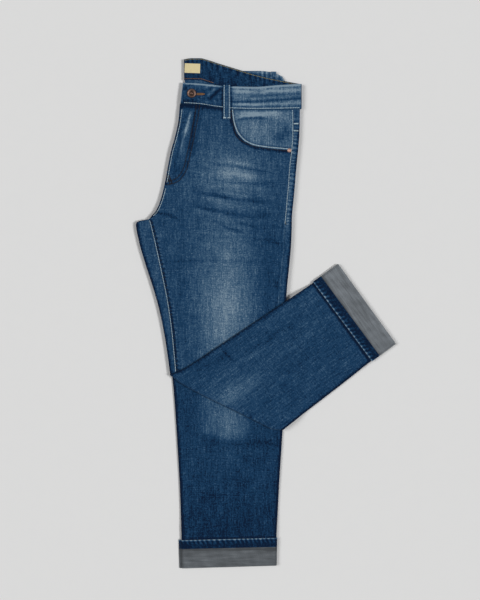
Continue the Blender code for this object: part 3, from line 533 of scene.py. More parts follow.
LEFT_LEG = table_curves(HIP_AND_THIGH + LEFT_SHIN, "y")
RIGHT_LEG = table_curves(HIP_AND_THIGH + RIGHT_SHIN, "y")
FRONT_BAND_CURVES = table_curves(FRONT_BAND_EDGES, "x")
LEFT_BACK_CURVES = table_curves(LEFT_BACK_EDGES, "x")
RIGHT_BACK_CURVES = table_curves(RIGHT_BACK_EDGES, "x")
FOLD_OUT = table_curves(FOLD_BOW, "share")["out"]
MOUTH_X = table_curves(POCKET_MOUTH, "y")["x"]
MOUTH_Y = table_curves(POCKET_MOUTH[1:], "x")["y"]


def wander(x, y, size, phase=0.0):
    """Smooth unevenness between about -1 and 1, with features of a given size."""
    u, v = x / size, y / size
    total = np.sin(2.1 * u + 1.3 * v + phase) + np.sin(-1.2 * u + 2.3 * v + 1.7 + 2 * phase)
    total = total + 0.7 * np.sin(3.9 * u + 0.6 * v + 4.1 - phase)
    return (total + 0.7 * np.sin(0.8 * u - 4.3 * v + 2.2 + 3 * phase)) / 3.4


def crease_sum(x, y, creases, slim=1.0):
    """The soft ridges and troughs of a table, added up at each place."""
    total = np.zeros(np.broadcast(x, y).shape)
    for crease in creases:
        (ax, ay), (bx, by) = crease.start, crease.end
        length = math.hypot(bx - ax, by - ay)
        ux, uy = (bx - ax) / length, (by - ay) / length
        along = ((x - ax) * ux + (y - ay) * uy) / length
        off = (y - ay) * ux - (x - ax) * uy - crease.bow * 4 * along * (1 - along)
        off = off + 1.2 * wander(x, y, 18.0, crease.width)
        taper = smoothstep((along + 0.08) / 0.3) * smoothstep((1.08 - along) / 0.3)
        total += crease.height * taper * bell(off, slim * crease.width)
    return total


def spot_sum(x, y, spots):
    total = np.zeros(np.broadcast(x, y).shape)
    for spot in spots:
        turn = math.radians(spot.turn)
        dx, dy = x - spot.centre[0], y - spot.centre[1]
        across = dx * math.cos(turn) + dy * math.sin(turn)
        along = dy * math.cos(turn) - dx * math.sin(turn)
        total += spot.amount * np.exp(-(across / spot.across) ** 2 - (along / spot.along) ** 2)
    return total


def distance_to_path(x, y, path):
    """Distance from each place to a path, and on which side of it the place is."""
    best = np.full(np.broadcast(x, y).shape, 1e9)
    side = np.zeros_like(best)
    for (ax, ay), (bx, by) in zip(path, path[1:]):
        dx, dy = bx - ax, by - ay
        share = np.clip(((x - ax) * dx + (y - ay) * dy) / (dx * dx + dy * dy), 0.0, 1.0)
        away = np.hypot(x - ax - share * dx, y - ay - share * dy)
        turn = (x - ax) * dy - (y - ay) * dx
        side = np.where(away < best, np.sign(turn), side)
        best = np.minimum(best, away)
    return best, side


# Knee fold and drape

FOLD_LENGTH = math.dist(FOLD_START, FOLD_END)
FOLD_ALONG = ((FOLD_END[0] - FOLD_START[0]) / FOLD_LENGTH, (FOLD_END[1] - FOLD_START[1]) / FOLD_LENGTH)
FOLD_ACROSS = (FOLD_ALONG[1], -FOLD_ALONG[0])


def past_fold(x, y):
    return (x - FOLD_START[0]) * FOLD_ACROSS[0] + (y - FOLD_START[1]) * FOLD_ACROSS[1]


def fold(x, y, height):
    """Carries points of the unfolded left leg round the knee fold."""
    along = (x - FOLD_START[0]) * FOLD_ALONG[0] + (y - FOLD_START[1]) * FOLD_ALONG[1]
    past = past_fold(x, y)
    angle = np.pi * (np.clip(past, -FOLD_HALF, FOLD_HALF) + FOLD_HALF) / (2 * FOLD_HALF)
    radius = FOLD_CENTRE - height
    bent_past = -FOLD_HALF + radius * np.sin(angle)
    bent_height = FOLD_CENTRE - radius * np.cos(angle)
    in_bend = np.abs(past) < FOLD_HALF
    height = np.where(past >= FOLD_HALF, 2 * FOLD_CENTRE - height, np.where(in_bend, bent_height, height))
    past = np.where(past >= FOLD_HALF, -past, np.where(in_bend, bent_past, past))
    share = np.clip(along / FOLD_LENGTH, 0.0, 1.0)
    past = past + FOLD_OUT(share) * bell(past, FOLD_BOW_REACH)
    return (FOLD_START[0] + along * FOLD_ALONG[0] + past * FOLD_ACROSS[0],
            FOLD_START[1] + along * FOLD_ALONG[1] + past * FOLD_ACROSS[1], height)


def cuff_lift(y, cuff):
    start = max(cuff.band_left, cuff.band_right) + CUFF_LIFT_RUN
    return CUFF_LIFT * smoothstep((start - y) / (CUFF_LIFT_RUN - 2.0))


def place_left(x, y, height, lift=None):
    """Left leg: the front faces up, and the leg turns back over itself past the knee fold."""
    turned_back = past_fold(x, y) > 0
    lift = cuff_lift(y, LEFT_CUFF) if lift is None else lift
    x, y, height = fold(x, y, height)
    side = RIGHT_LEG["right"](y)
    drop = (LEFT_LEG_Z + LEG_HEIGHT + SEAM) * smoothstep((x - side - DROP_START) / DROP_RUN)
    return np.stack([x, y, LEFT_LEG_Z + height + lift - np.where(turned_back, drop, 0.0)], axis=-1)


def place_right(x, y, height, lift=None):
    """Right leg: the front faces down on the floor."""
    lift = cuff_lift(y, RIGHT_CUFF) if lift is None else lift
    return np.stack([x, y, LEG_HEIGHT - height + lift], axis=-1)


# Relief: how far each face stands above its plain form, and how faded it is

FLAP_EDGE = ((-177.5, -118.3), (31.7, 34.6))


def clear_of_flap(x, y):
    """1 where the thigh is open to view, and 0 where the turned-back leg lies on it."""
    (ax, ay), (bx, by) = FLAP_EDGE
    length = math.dist(*FLAP_EDGE)
    return smoothstep((((y - ay) * (bx - ax) - (x - ax) * (by - ay)) / length - 1.0) / 14.0)


def seam_pucker(along, away, reach=5.0):
    """Uneven puckers across a seam: along it and away from it."""
    size = settings().cloth.pucker / MM
    waves = np.sin(2 * np.pi * (along / 6.3 + 0.6 * np.sin(along / 23.0) + away * 0.04))
    return size * waves * (0.6 + 0.4 * np.sin(along / 31.0 + 1.0)) * bell(away, reach)


def left_front_relief(x, y):
    from_left, from_right = x - LEFT_LEG["inseam"](y), LEFT_LEG["outseam"](y) - x
    height = crease_sum(x, y, THIGH_CREASES) * settings().cloth.crease + 0.25 + 0.3 * wander(x, y, 55.0)
    height = height + 0.35 * smoothstep((HEM_WIDTH - np.abs(from_left)) / 2.0)
    height = height + seam_pucker(y, np.abs(from_left - 3.0)) + seam_pucker(y + 9.0, np.abs(from_right - 3.0))
    away, side = distance_to_path(x, y, FLY_STITCH)
    on_fly = np.where((side > 0) & (y > FLY_LOW_Y), away, -away)
    mouth, _ = distance_to_path(x, y, POCKET_MOUTH)
    height = height + 0.45 * smoothstep((on_fly + 1.0) / 2.5)
    height = height + 0.5 * smoothstep((HEM_WIDTH - mouth) / 1.8) * (y > POCKET_LOW_Y)
    soft_edges = 1 - smoothstep(from_right / 1.6) + (1 - smoothstep(mouth / 1.6)) * (y > MOUTH_LOW_Y)
    return (height - 0.45 * soft_edges) * clear_of_flap(x, y) * smoothstep((RELIEF_END_Y - y) / 5.0)


def back_relief(x, y, creases):
    """Relief of a back panel's face."""
    return crease_sum(x, y, creases) * settings().cloth.crease + 0.2 + 0.25 * wander(x, y, 48.0, 1.0)


def block(x, y, centre, half, soft):
    """1 inside an upright block with soft sides, and 0 outside it."""
    return (smoothstep((half[0] - np.abs(x - centre[0])) / soft + 0.5)
            * smoothstep((half[1] - np.abs(y - centre[1])) / soft + 0.5))


def rope(y, slant=0.0):
    """Light and dark twists along a washed seam."""
    return np.sin(y / 1.15 + 2.2 * np.sin(y / 9.0) + slant)


def loop_side_shade(x):
    """Painted shade: dark lines on the cloth at both sides of the front belt loop."""
    return 0.34 * bell(np.abs(x - (FRONT_LOOP.left + FRONT_LOOP.right) / 2) - 8.6, 1.8)


def thigh_fade(x, y):
    fade = 0.40 + spot_sum(x, y, THIGH_SPOTS) + STREAK_GAIN * crease_sum(x, y, THIGH_STREAKS, 0.72)
    whiskers = wander(0.12 * x, y + 0.14 * x, 4.6, 1.0) + 0.7 * wander(0.2 * x, y + 0.2 * x, 7.0, 2.0)
    fade = fade + 0.075 * whiskers * block(x, y, (-60.0, 215.0), (90.0, 95.0), 70.0)
    fade = fade + 0.02 * wander(x, 0.3 * y, 7.0, 4.0)
    from_left, from_right = x - LEFT_LEG["inseam"](y), LEFT_LEG["outseam"](y) - x
    under = FRONT_BAND_CURVES["lower"](x) - y
    mouth, _ = distance_to_path(x, y, POCKET_MOUTH)
    away, side = distance_to_path(x, y, FLY_STITCH)
    inside = np.where(side > 0, away, -away)
    for beside, at, width, amount, where in (
            (from_left, 4.2, 1.9, -0.42, y < 200.0),
            (from_left, 7.4, 3.0, 0.26 * rope(y), y < 200.0),
            # painted shade along the rounded centre-front edge
            (from_left, 1.6, 2.2, -0.34, y > CROTCH_Y),
            (from_left, 2.5, 3.0, 0.15 * rope(y, 2.0), y > 185.0),
            # painted shadow under the waistband's lower edge, on its left part
            (under, 2.0, 4.2, -0.55, smoothstep((-72.0 - x) / 14.0)),
            (from_right, 1.5, 2.0, 0.12, y < 172.0),
            (from_right, 4.5, 1.6, -0.16, y < 172.0),
            (mouth, 1.2, 2.0, 0.50, y > MOUTH_LOW_Y),
            (inside, 3.0, 4.4, -0.26, y > FLY_LOW_Y),
            (inside, -6.0, 2.0, -0.20, y > POCKET_LOW_Y),
            (inside, 3.2, 1.4, 0.10, y > FLY_LOW_Y)):
        fade = fade + amount * bell(beside - at, width) * where
    under_hem = smoothstep((mouth - 3.0) / 1.8) * smoothstep((10.4 - mouth) / 2.4)
    # minus painted shade on the cloth at both sides of the front belt loop
    return fade - 0.44 * under_hem * (y > POCKET_LOW_Y) - loop_side_shade(x) * (y > 368.0)


def back_fade(x, y, leg, world_x, world_y, spots, streaks, base):
    """Fade of a back panel, with roped seams along its strips and painted shade along its rounded edges."""
    fade = base + spot_sum(world_x, world_y, spots) + STREAK_GAIN * crease_sum(world_x, world_y, streaks)
    fade = fade + 0.03 * wander(world_x, 0.3 * world_y, 7.0, 5.0)
    twist = rope(y, (x - leg["right"](y)) * 0.12)
    worn = smoothstep((y - 150.0) / 25.0)
    fade = fade + ((0.20 * twist + 0.14) * worn + 0.05 * twist) * smoothstep(x - leg["outseam"](y) + 1.0)
    fade = fade + (0.05 * twist + 0.02) * smoothstep(leg["inseam"](y) - x + 1.0)
    # painted shade: darker along the rounded edges, which turn away from the light
    rim = np.minimum(x - leg["left"](y), leg["right"](y) - x)
    return fade - 0.50 * bell(rim - 1.6, 2.8)


# Sections across a leg

Line = namedtuple("Line", "y_left y_right")


def level(y):
    return Line(y, y)


def fold_line(past, leg):
    """A line across the leg at a distance past the knee fold."""
    ends = []
    for column in ("left", "right"):
        y = FOLD_START[1] if column == "left" else FOLD_END[1]
        for _ in range(6):
            x = float(leg[column](y))
            along = (x - FOLD_START[0] - past * FOLD_ACROSS[0]) / FOLD_ALONG[0]
            y = FOLD_START[1] + along * FOLD_ALONG[1] + past * FOLD_ACROSS[1]
        ends.append(y)
    return Line(*ends)


def between(first, last, steps):
    """The lines between two others, without those two."""
    return [Line(blend(first.y_left, last.y_left, k / steps), blend(first.y_right, last.y_right, k / steps))
            for k in range(1, steps)]


def down(first, last, steps):
    """The lines from one to another, with both."""
    return [first] + between(first, last, steps) + [last]


def levels(top, bottom, size):
    count = max(1, round((top - bottom) / size))
    return [level(blend(top, bottom, k / count)) for k in range(count + 1)]


class Sections:
    """Straight cuts across a leg. Distances along each are measured from the leg's left edge."""

    def __init__(self, leg, lines):
        self.leg = leg
        self.y_left = np.array([line.y_left for line in lines])
        self.y_right = np.array([line.y_right for line in lines])
        self.x_left = leg["left"](self.y_left)
        self.x_right = leg["right"](self.y_right)
        self.width = np.hypot(self.x_right - self.x_left, self.y_right - self.y_left)
        self.inseam = self.crossing("inseam")
        self.outseam = self.crossing("outseam")
        self.y_mean = (self.y_left + self.y_right) / 2

    def crossing(self, column):
        share = np.full(self.y_left.shape, 0.5)
        for _ in range(10):
            x = self.leg[column](blend(self.y_left, self.y_right, share))
            share = (x - self.x_left) / (self.x_right - self.x_left)
        return share * self.width

    def at(self, distance):
        share = distance / self.width[:, None]
        return (blend(self.x_left[:, None], self.x_right[:, None], share),
                blend(self.y_left[:, None], self.y_right[:, None], share))


def spaced(start, end, size, fine=(0.0, 0.7, 1.5, 2.4, 3.6, 5.2, 7.4)):
    """Columns from start to end for each row, close together near both ends."""
    start, end = np.broadcast_arrays(start, end)
    count = max(2, round(float(np.max(end - start) - 2 * fine[-1]) / size))
    reach = np.minimum(1.0, (end - start) / (4 * fine[-1]))
    columns = [start + value * reach for value in fine]
    low, high = start + fine[-1] * reach, end - fine[-1] * reach
    columns += [blend(low, high, k / count) for k in range(1, count)]
    columns += [end - value * reach for value in reversed(fine)]
    return columns


class Skins:
    """Columns of a panel: distance and height of its outer and then its inner skin, in each section."""

    def __init__(self, sections):
        self.sections = sections
        self.columns = []

    def add(self, *column):
        self.columns.append([np.broadcast_to(value, len(self.sections.width)) for value in column])

    def front(self, distance):
        self.add(distance, LEG_HEIGHT, distance, LEG_HEIGHT - CLOTH)

    def back(self, distance):
        self.add(distance, 0.0, distance, CLOTH)

    def edge(self, side, steps):
        """Goes round a rounded edge, where step 0 is on the front and the last step on the back."""
        for k in steps:
            angle = math.pi * k / EDGE_STEPS
            column = []
            for radius in (EDGE_RADIUS, EDGE_RADIUS - CLOTH):
                inward = EDGE_RADIUS - radius * math.sin(angle)
                column.append(inward if side == "left" else self.sections.width - inward)
                column.append(EDGE_RADIUS + radius * math.cos(angle))
            self.add(*column)

    def grids(self):
        return [np.stack(store, axis=1) for store in zip(*self.columns)]


# Meshes

def add_object(name, data):
    made = bpy.data.objects.new(name, data)
    bpy.context.scene.collection.objects.link(made)
    return made


def cloth_wall(name, outer, inner, uv, fade, keep=None, closed=False):
    """A closed wall of cloth between an outer and an inner grid of points in millimetres.

    keep says which cells are part of the piece. uv is in metres along the weft and warp of the cloth.
    """
    rows, places = outer.shape[:2]
    columns = places if closed else places - 1
    cells = np.ones((rows - 1, columns), bool) if keep is None else keep
    used = np.zeros((rows, places), bool)
    for i, j in zip(*np.nonzero(cells)):
        after = (j + 1) % places
        used[i, j] = used[i + 1, j] = used[i, after] = used[i + 1, after] = True
    index = np.full((rows, places), -1)
    index[used] = np.arange(used.sum())
    count = int(used.sum())
    points = np.concatenate([outer[used], inner[used]]) * MM
    faces, corners = [], []

    def add(face, loops):
        faces.append(face)
        corners.extend(loops)

    for i, j in zip(*np.nonzero(cells)):
        after = (j + 1) % places
        ring = [(i, j), (i, after), (i + 1, after), (i + 1, j)]
        loops = [(i, j), (i, j + 1), (i + 1, j + 1), (i + 1, j)]
        ids = [int(index[a]) for a in ring]
        add(ids, loops)
        add([k + count for k in reversed(ids)], loops[::-1])
        right, left = (after, (j - 1) % columns) if closed else (j + 1, j - 1)
        for side, (a, b) in enumerate([(i - 1, j), (i, right), (i + 1, j), (i, left)]):
            inside = 0 <= a < rows - 1 and 0 <= b < columns and cells[a, b]
            if not inside:
                p, q = side, (side + 1) % 4
                rim = [ids[q], ids[p], ids[p] + count, ids[q] + count]
                add(rim, [loops[q], loops[p], loops[p], loops[q]])
    mesh = bpy.data.meshes.new(name)
    mesh.from_pydata(points.tolist(), [], faces)
    layer = mesh.uv_layers.new(name="cloth")
    where = np.array(corners)
    layer.data.foreach_set("uv", uv[where[:, 0], where[:, 1]].astype(np.float32).ravel())
    both = np.concatenate([fade[used], fade[used]]).astype(np.float32)
    mesh.attributes.new("fade", "FLOAT", "POINT").data.foreach_set("value", both)
    face_out(mesh)
    return add_object(name, mesh)


def face_out(mesh):
    bm = bmesh.new()
    bm.from_mesh(mesh)
    bmesh.ops.recalc_face_normals(bm, faces=bm.faces)
    bm.to_mesh(mesh)
    bm.free()
    mesh.shade_smooth()
    mesh.set_sharp_from_angle(angle=math.radians(50))


def finish_piece(piece, material, slot, nodes, sheet=None):
    """Gives a finished piece its material, body, slot, the CAD nodes that it stands for and its cut."""
    piece.data.materials.clear()
    piece.data.materials.append(material)
    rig.ride(piece, "root")
    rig.slot(piece, slot)
    if nodes:
        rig.replaces(piece, *nodes)
    if sheet:
        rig.sheet(piece, **sheet)


def washed(piece, node, sheet, slot="denim"):
    """Finishes a piece of washed denim."""
    finish_piece(piece, denim("washed_denim"), slot, [node], sheet)


# Materials

def add_node(tree, kind, inputs=None, **values):
    """Adds a node, with its settings and then the values or links of its inputs."""
    node = tree.nodes.new(kind)
    for key, value in values.items():
        setattr(node, key, value)
    set_inputs(tree, node, inputs or {})
    return node


def set_inputs(tree, node, inputs):
    for key, value in inputs.items():
        if isinstance(value, bpy.types.NodeSocket):
            tree.links.new(value, node.inputs[key])
        else:
            node.inputs[key].default_value = value


def finish(make):
    """Makes a finish's material the first time that it is asked for."""
    def get(name, *values):
        return bpy.data.materials.get(name) or make(Nodes(name), *values).material
    return get


class Nodes:
    """The nodes of a new material."""

    def __init__(self, name):
        self.material = bpy.data.materials.new(name)
        self.material.use_nodes = True
        self.tree = self.material.node_tree

    def add(self, kind, inputs=None, **values):
        return add_node(self.tree, kind, inputs, **values)

    def cloth_uv(self):
        return self.add("ShaderNodeUVMap", uv_map="cloth").outputs[0]

    def fade(self):
        return self.add("ShaderNodeAttribute", attribute_name="fade").outputs["Fac"]

    def place(self):
        return self.add("ShaderNodeTexCoord").outputs["Object"]

    def math(self, operation, a, b=0.0, c=0.0):
        return self.add("ShaderNodeMath", {0: a, 1: b, 2: c}, operation=operation).outputs[0]

    def noise(self, vector, scale, detail=2.0, stretch=(1.0, 1.0, 1.0)):
        place = self.add("ShaderNodeMapping", {"Vector": vector, "Scale": stretch})
        return self.add("ShaderNodeTexNoise", {"Vector": place.outputs[0], "Scale": scale, "Detail": detail,
                                               "Roughness": 0.55}).outputs["Fac"]

    def twill(self, vector, size=0.0011):
        """Slanting ribs of a twill weave, from nought to one."""
        slant = self.add("ShaderNodeMapping", {"Vector": vector, "Rotation": (0.0, 0.0, TWILL_SLANT)})
        ribs = {"Vector": slant.outputs[0], "Scale": 2 * math.pi / (20 * size), "Distortion": 1.2,
                "Detail": 1.0, "Detail Scale": 2.0}
        return self.add("ShaderNodeTexWave", ribs).outputs["Fac"]

    def vary(self, value, *parts, gain=1.0):
        """Adds parts to a value, each swinging evenly about nought by its amount."""
        for part, amount in parts:
            swing = self.math("MULTIPLY", self.math("SUBTRACT", part, 0.5), amount * gain)
            value = self.math("ADD", value, swing)
        return value

    def weigh(self, *parts):
        """Adds up parts, each times its amount."""
        total = 0.0
        for part, amount in parts:
            total = self.math("MULTIPLY_ADD", part, amount, total)
        return total

    def ramp(self, value, *stops):
        node = self.add("ShaderNodeValToRGB", {"Fac": value})
        elements = node.color_ramp.elements
        elements[0].position, elements[-1].position = stops[0][0], stops[-1][0]
        for position, _ in stops[1:-1]:
            elements.new(position)
        for element, (_, stop) in zip(elements, stops):
            element.color = (*stop, 1.0)
        return node.outputs["Color"]

    def tones(self, value, base, dark, light):
        """A colour's own ramp, from a darker tone to a lighter one."""
        return self.ramp(value, (0.0, [dark * c for c in base]), (0.5, base),
                         (1.0, [min(1.0, light * c) for c in base]))

    def surface(self, hue, roughness, height, distance, strength, **others):
        """Links colour, roughness and bump to the shader. Others are named like its inputs."""
        bump = self.add("ShaderNodeBump", {"Height": height, "Distance": distance, "Strength": strength})
        inputs = {"Base Color": hue, "Roughness": roughness, "Normal": bump.outputs[0]}
        inputs.update({key.replace("_", " "): value for key, value in others.items()})
        set_inputs(self.tree, self.tree.nodes["Principled BSDF"], inputs)
        return self


@finish
def denim(nodes, contrast=1.0):
    """Washed denim, faded by the piece's own fade attribute, with uneven warp and weft yarns."""
    colours = settings().colours
    uv, fade = nodes.cloth_uv(), nodes.fade()
    warp = nodes.noise(uv, 1.0, 3.0, (520.0, 44.0, 1.0))
    weft = nodes.noise(uv, 1.0, 3.0, (34.0, 520.0, 1.0))
    fine = nodes.noise(uv, 480.0)
    streaks = nodes.noise(uv, 1.0, 2.0, (120.0, 4.0, 1.0))
    mottle = nodes.noise(uv, 60.0, 3.0, (1.0, 0.5, 1.0))
    cloudy = nodes.noise(uv, 230.0)
    ribs = nodes.twill(uv)
    yarns = nodes.vary(0.0, (ribs, 0.08), (warp, 0.78), (weft, 0.40), (fine, 1.05), (streaks, 0.26),
                       (mottle, 0.28), (cloudy, 0.60), gain=contrast)
    value = nodes.math("MULTIPLY_ADD", yarns, nodes.math("MULTIPLY_ADD", fade, -0.45, 1.12), fade)
    hue = nodes.ramp(value, (0.0, colours.deep), (0.2, colours.navy), (0.4, colours.washed),
                     (0.7, colours.faded), (1.0, colours.worn))
    height = nodes.weigh((ribs, 0.35), (warp, 0.5), (weft, 0.35), (mottle, 0.4), (fine, 0.3))
    return nodes.surface(hue, nodes.math("MULTIPLY_ADD", warp, 0.16, 0.80), height, WEAVE_DEPTH, 0.8,
                         Sheen_Weight=0.03, Sheen_Roughness=0.6, Specular_IOR_Level=0.08)


@finish
def plain_denim(nodes):
    """Denim for a carried-over solid, on Object coordinates."""
    colours = settings().colours
    place = nodes.place()
    warp = nodes.noise(place, 1.0, 2.0, (560.0, 42.0, 300.0))
    mottle = nodes.noise(place, 150.0, 3.0)
    value = nodes.vary(0.36, (mottle, 0.3), (warp, 0.4))
    hue = nodes.ramp(value, (0.0, colours.deep), (0.4, colours.washed), (1.0, colours.faded))
    return nodes.surface(hue, nodes.math("MULTIPLY_ADD", warp, 0.16, 0.8), nodes.math("ADD", warp, mottle),
                         WEAVE_DEPTH, 0.8)


@finish
def wrong_side(nodes):
    """The grey wrong side of the denim, with the weft on top."""
    uv = nodes.cloth_uv()
    weft = nodes.noise(uv, 1.0, 3.0, (26.0, 330.0, 1.0))
    fine = nodes.noise(uv, 800.0)
    broad = nodes.noise(uv, 40.0)
    ribs = nodes.twill(uv)
    value = nodes.vary(nodes.fade(), (weft, 0.9), (fine, 0.9), (broad, 0.4), (ribs, 0.12))
    return nodes.surface(nodes.tones(value, settings().colours.wrong_side, 0.55, 1.75),
                         nodes.math("MULTIPLY_ADD", weft, 0.12, 0.84), nodes.weigh((ribs, 0.35), (weft, 0.6)),
                         WEAVE_DEPTH, 0.8, Sheen_Weight=0.04, Sheen_Roughness=0.6, Specular_IOR_Level=0.08)


@finish
def thread(nodes, base):
    """Sewing thread: a slight twist and some soiling."""
    place = nodes.place()
    soil = nodes.noise(place, 120.0)
    twist = nodes.noise(place, 2600.0, 1.0)
    value = nodes.vary(0.5, (twist, 0.5), (soil, 1.1))
    return nodes.surface(nodes.tones(value, base, 0.45, 1.35), nodes.math("MULTIPLY_ADD", twist, 0.2, 0.5),
                         twist, TWIST_DEPTH, 0.7, Specular_IOR_Level=0.3)


@finish
def label_cloth(nodes):
    """Plain woven cloth, slightly soiled."""
    place = nodes.place()
    across = nodes.noise(place, 1.0, 2.0, (300.0, 2600.0, 1.0))
    along = nodes.noise(place, 1.0, 2.0, (2600.0, 300.0, 1.0))
    soil = nodes.noise(place, 160.0, 3.0)
    value = nodes.vary(0.5, (soil, 0.6), (across, 0.7), (along, 0.4))
    return nodes.surface(nodes.tones(value, settings().colours.label, 0.72, 1.15),
                         nodes.math("MULTIPLY_ADD", soil, 0.2, 0.55), nodes.math("ADD", across, along),
                         LABEL_WEAVE_DEPTH, 0.8, Sheen_Weight=0.2)


@finish
def antique_metal(nodes, gain, metallic):
    """Antique copper plating, darkened in its low places and rubbed brighter here and there."""
    place = nodes.place()
    grain = nodes.noise(place, 900.0, 3.0)
    stain = nodes.noise(place, 260.0, 3.0)
    value = nodes.vary(nodes.fade(), (stain, 0.7), (grain, 0.3))
    base = [gain * c for c in settings().colours.copper]
    return nodes.surface(nodes.tones(value, base, 0.25, 1.9), nodes.math("MULTIPLY_ADD", grain, 0.3, 0.32),
                         grain, GRAIN_DEPTH, 0.6, Metallic=metallic)


# Leg panels

def leg_end(cuff):
    inside = CUFF_LIFT + SEAM / 2
    return Line(cuff.turn_left + inside, cuff.turn_right + inside)


def left_lines(cell):
    """Lines down the left leg: close together at the pocket mouth and in the knee fold."""
    mouth = [level(y) for y in np.concatenate([np.linspace(330.5, 319.0, 10), np.linspace(318.0, 313.3, 8)])]
    thigh = levels(312.6, FULL_BACKS_Y, cell)
    before, after = fold_line(-FOLD_MARGIN, LEFT_LEG), fold_line(FOLD_MARGIN, LEFT_LEG)
    bend = [fold_line(FOLD_HALF * past, LEFT_LEG) for past in np.linspace(-1.0, 1.0, 15)]
    return (levels(WAIST_Y, 334.0, cell) + mouth + thigh + between(thigh[-1], before, 22)
            + down(before, bend[0], 3)[:-1] + bend + down(bend[-1], after, 3)[1:]
            + down(after, leg_end(LEFT_CUFF), round(310 / cell))[1:])


def right_lines(cell):
    lines = levels(WAIST_Y, -420.0, cell)
    return lines + down(lines[-1], leg_end(RIGHT_CUFF), round(65 / cell))[1:]


def below_yoke(lines):
    return [level(YOKE_Y - SEAM)] + [line for line in lines if line.y_left < YOKE_Y - SEAM - 1.0]


def under_band(x, y, curves):
    """Moves the top rows of a panel along the leg so that the panel ends just under the waistband."""
    top = curves["lower"](x) - WAIST_PARTING
    return np.where(y > 366.0, y + (top - WAIST_Y) * np.clip((y - 366.0) / (WAIST_Y - 366.0), 0.0, 1.0), y)


def front_grid(leg, lines, right_end, size):
    """A front panel: round the centre front, then across to its right end."""
    sections = Sections(leg, lines)
    above = sections.y_mean >= CROTCH_Y
    start = np.where(above, EDGE_RADIUS, sections.inseam + SEAM / 2)
    skins = Skins(sections)
    skins.back(EDGE_RADIUS + WRAP)
    skins.edge("left", range(EDGE_STEPS, 0, -1))
    wrap_columns = len(skins.columns)
    for distance in spaced(start, right_end(sections), size):
        skins.front(distance)
    keep = np.ones((len(lines) - 1, len(skins.columns) - 1), bool)
    keep[:, :wrap_columns] = above[1:, None]
    return sections, skins.grids(), keep


def back_grid(leg, lines, size):
    """A back panel: strip on the front, rounded edge, across the back, rounded edge and strip."""
    sections = Sections(leg, lines)
    width = sections.width
    left_start = np.maximum(sections.inseam - SEAM / 2, EDGE_RADIUS + LEAST_STRIP)
    right_start = np.minimum(sections.outseam + SEAM / 2, width - EDGE_RADIUS - LEAST_STRIP)
    shares = np.linspace(0.0, 1.0, 6)
    skins = Skins(sections)
    for share in shares[:-1]:
        skins.front(blend(left_start, EDGE_RADIUS, share))
    skins.edge("left", range(EDGE_STEPS + 1))
    for distance in EDGE_COLUMNS:
        skins.back(distance)
    left_strip = len(skins.columns)
    count = round(float(np.max(width) - 2 * EDGE_FLAP) / size)
    for k in range(count + 1):
        skins.back(blend(EDGE_FLAP, width - EDGE_FLAP, k / count))
    right_strip = len(skins.columns) - 1
    for distance in EDGE_COLUMNS[::-1]:
        skins.back(width - distance)
    skins.edge("right", range(EDGE_STEPS, -1, -1))
    for share in shares[1:]:
        skins.front(blend(width - EDGE_RADIUS, right_start, share))
    keep = np.ones((len(lines) - 1, len(skins.columns) - 1), bool)
    keep[:, :left_strip] = sections.y_mean[:-1, None] < CROTCH_Y
    keep[:, left_strip:right_strip] = sections.y_mean[:-1, None] <= FULL_BACKS_Y
    return sections, skins.grids(), keep


def facing_front(height):
    """1 on the front face of a leg, -1 on its back face and between at a rounded edge."""
    return np.clip((height - LEG_HEIGHT / 2) / (LEG_HEIGHT / 2 - 0.3), -1.0, 1.0)


def panel(name, grid, place, relief, fade, curves=None):
    """A leg panel: both skins moved by the relief, then laid in place."""
    sections, (outer_d, outer_h, inner_d, inner_h), keep = grid
    x, y = sections.at(outer_d)
    xi, yi = sections.at(inner_d)
    if curves:
        y, yi = under_band(x, y, curves), under_band(xi, yi, curves)
    side = facing_front(outer_h)
    rise = relief(x, y, side)
    outer = place(x, y, outer_h + rise)
    inner = place(xi, yi, inner_h + rise)
    uv = stacked(x * MM + np.where(side < 0, 0.31, 0.0), y * MM)
    return cloth_wall(name, outer, inner, uv, fade(x, y, outer, side), keep)


def front_shade(x, y, outer, side):
    return thigh_fade(x, y)


def pocket_end(sections):
    lowest = POCKET_MOUTH[-1].y
    y = sections.y_mean
    mouth = MOUTH_X(np.clip(y, lowest, 402.0)) - sections.x_left
    return np.where(y < lowest, sections.outseam - SEAM / 2, np.minimum(mouth, sections.outseam - SEAM / 2))


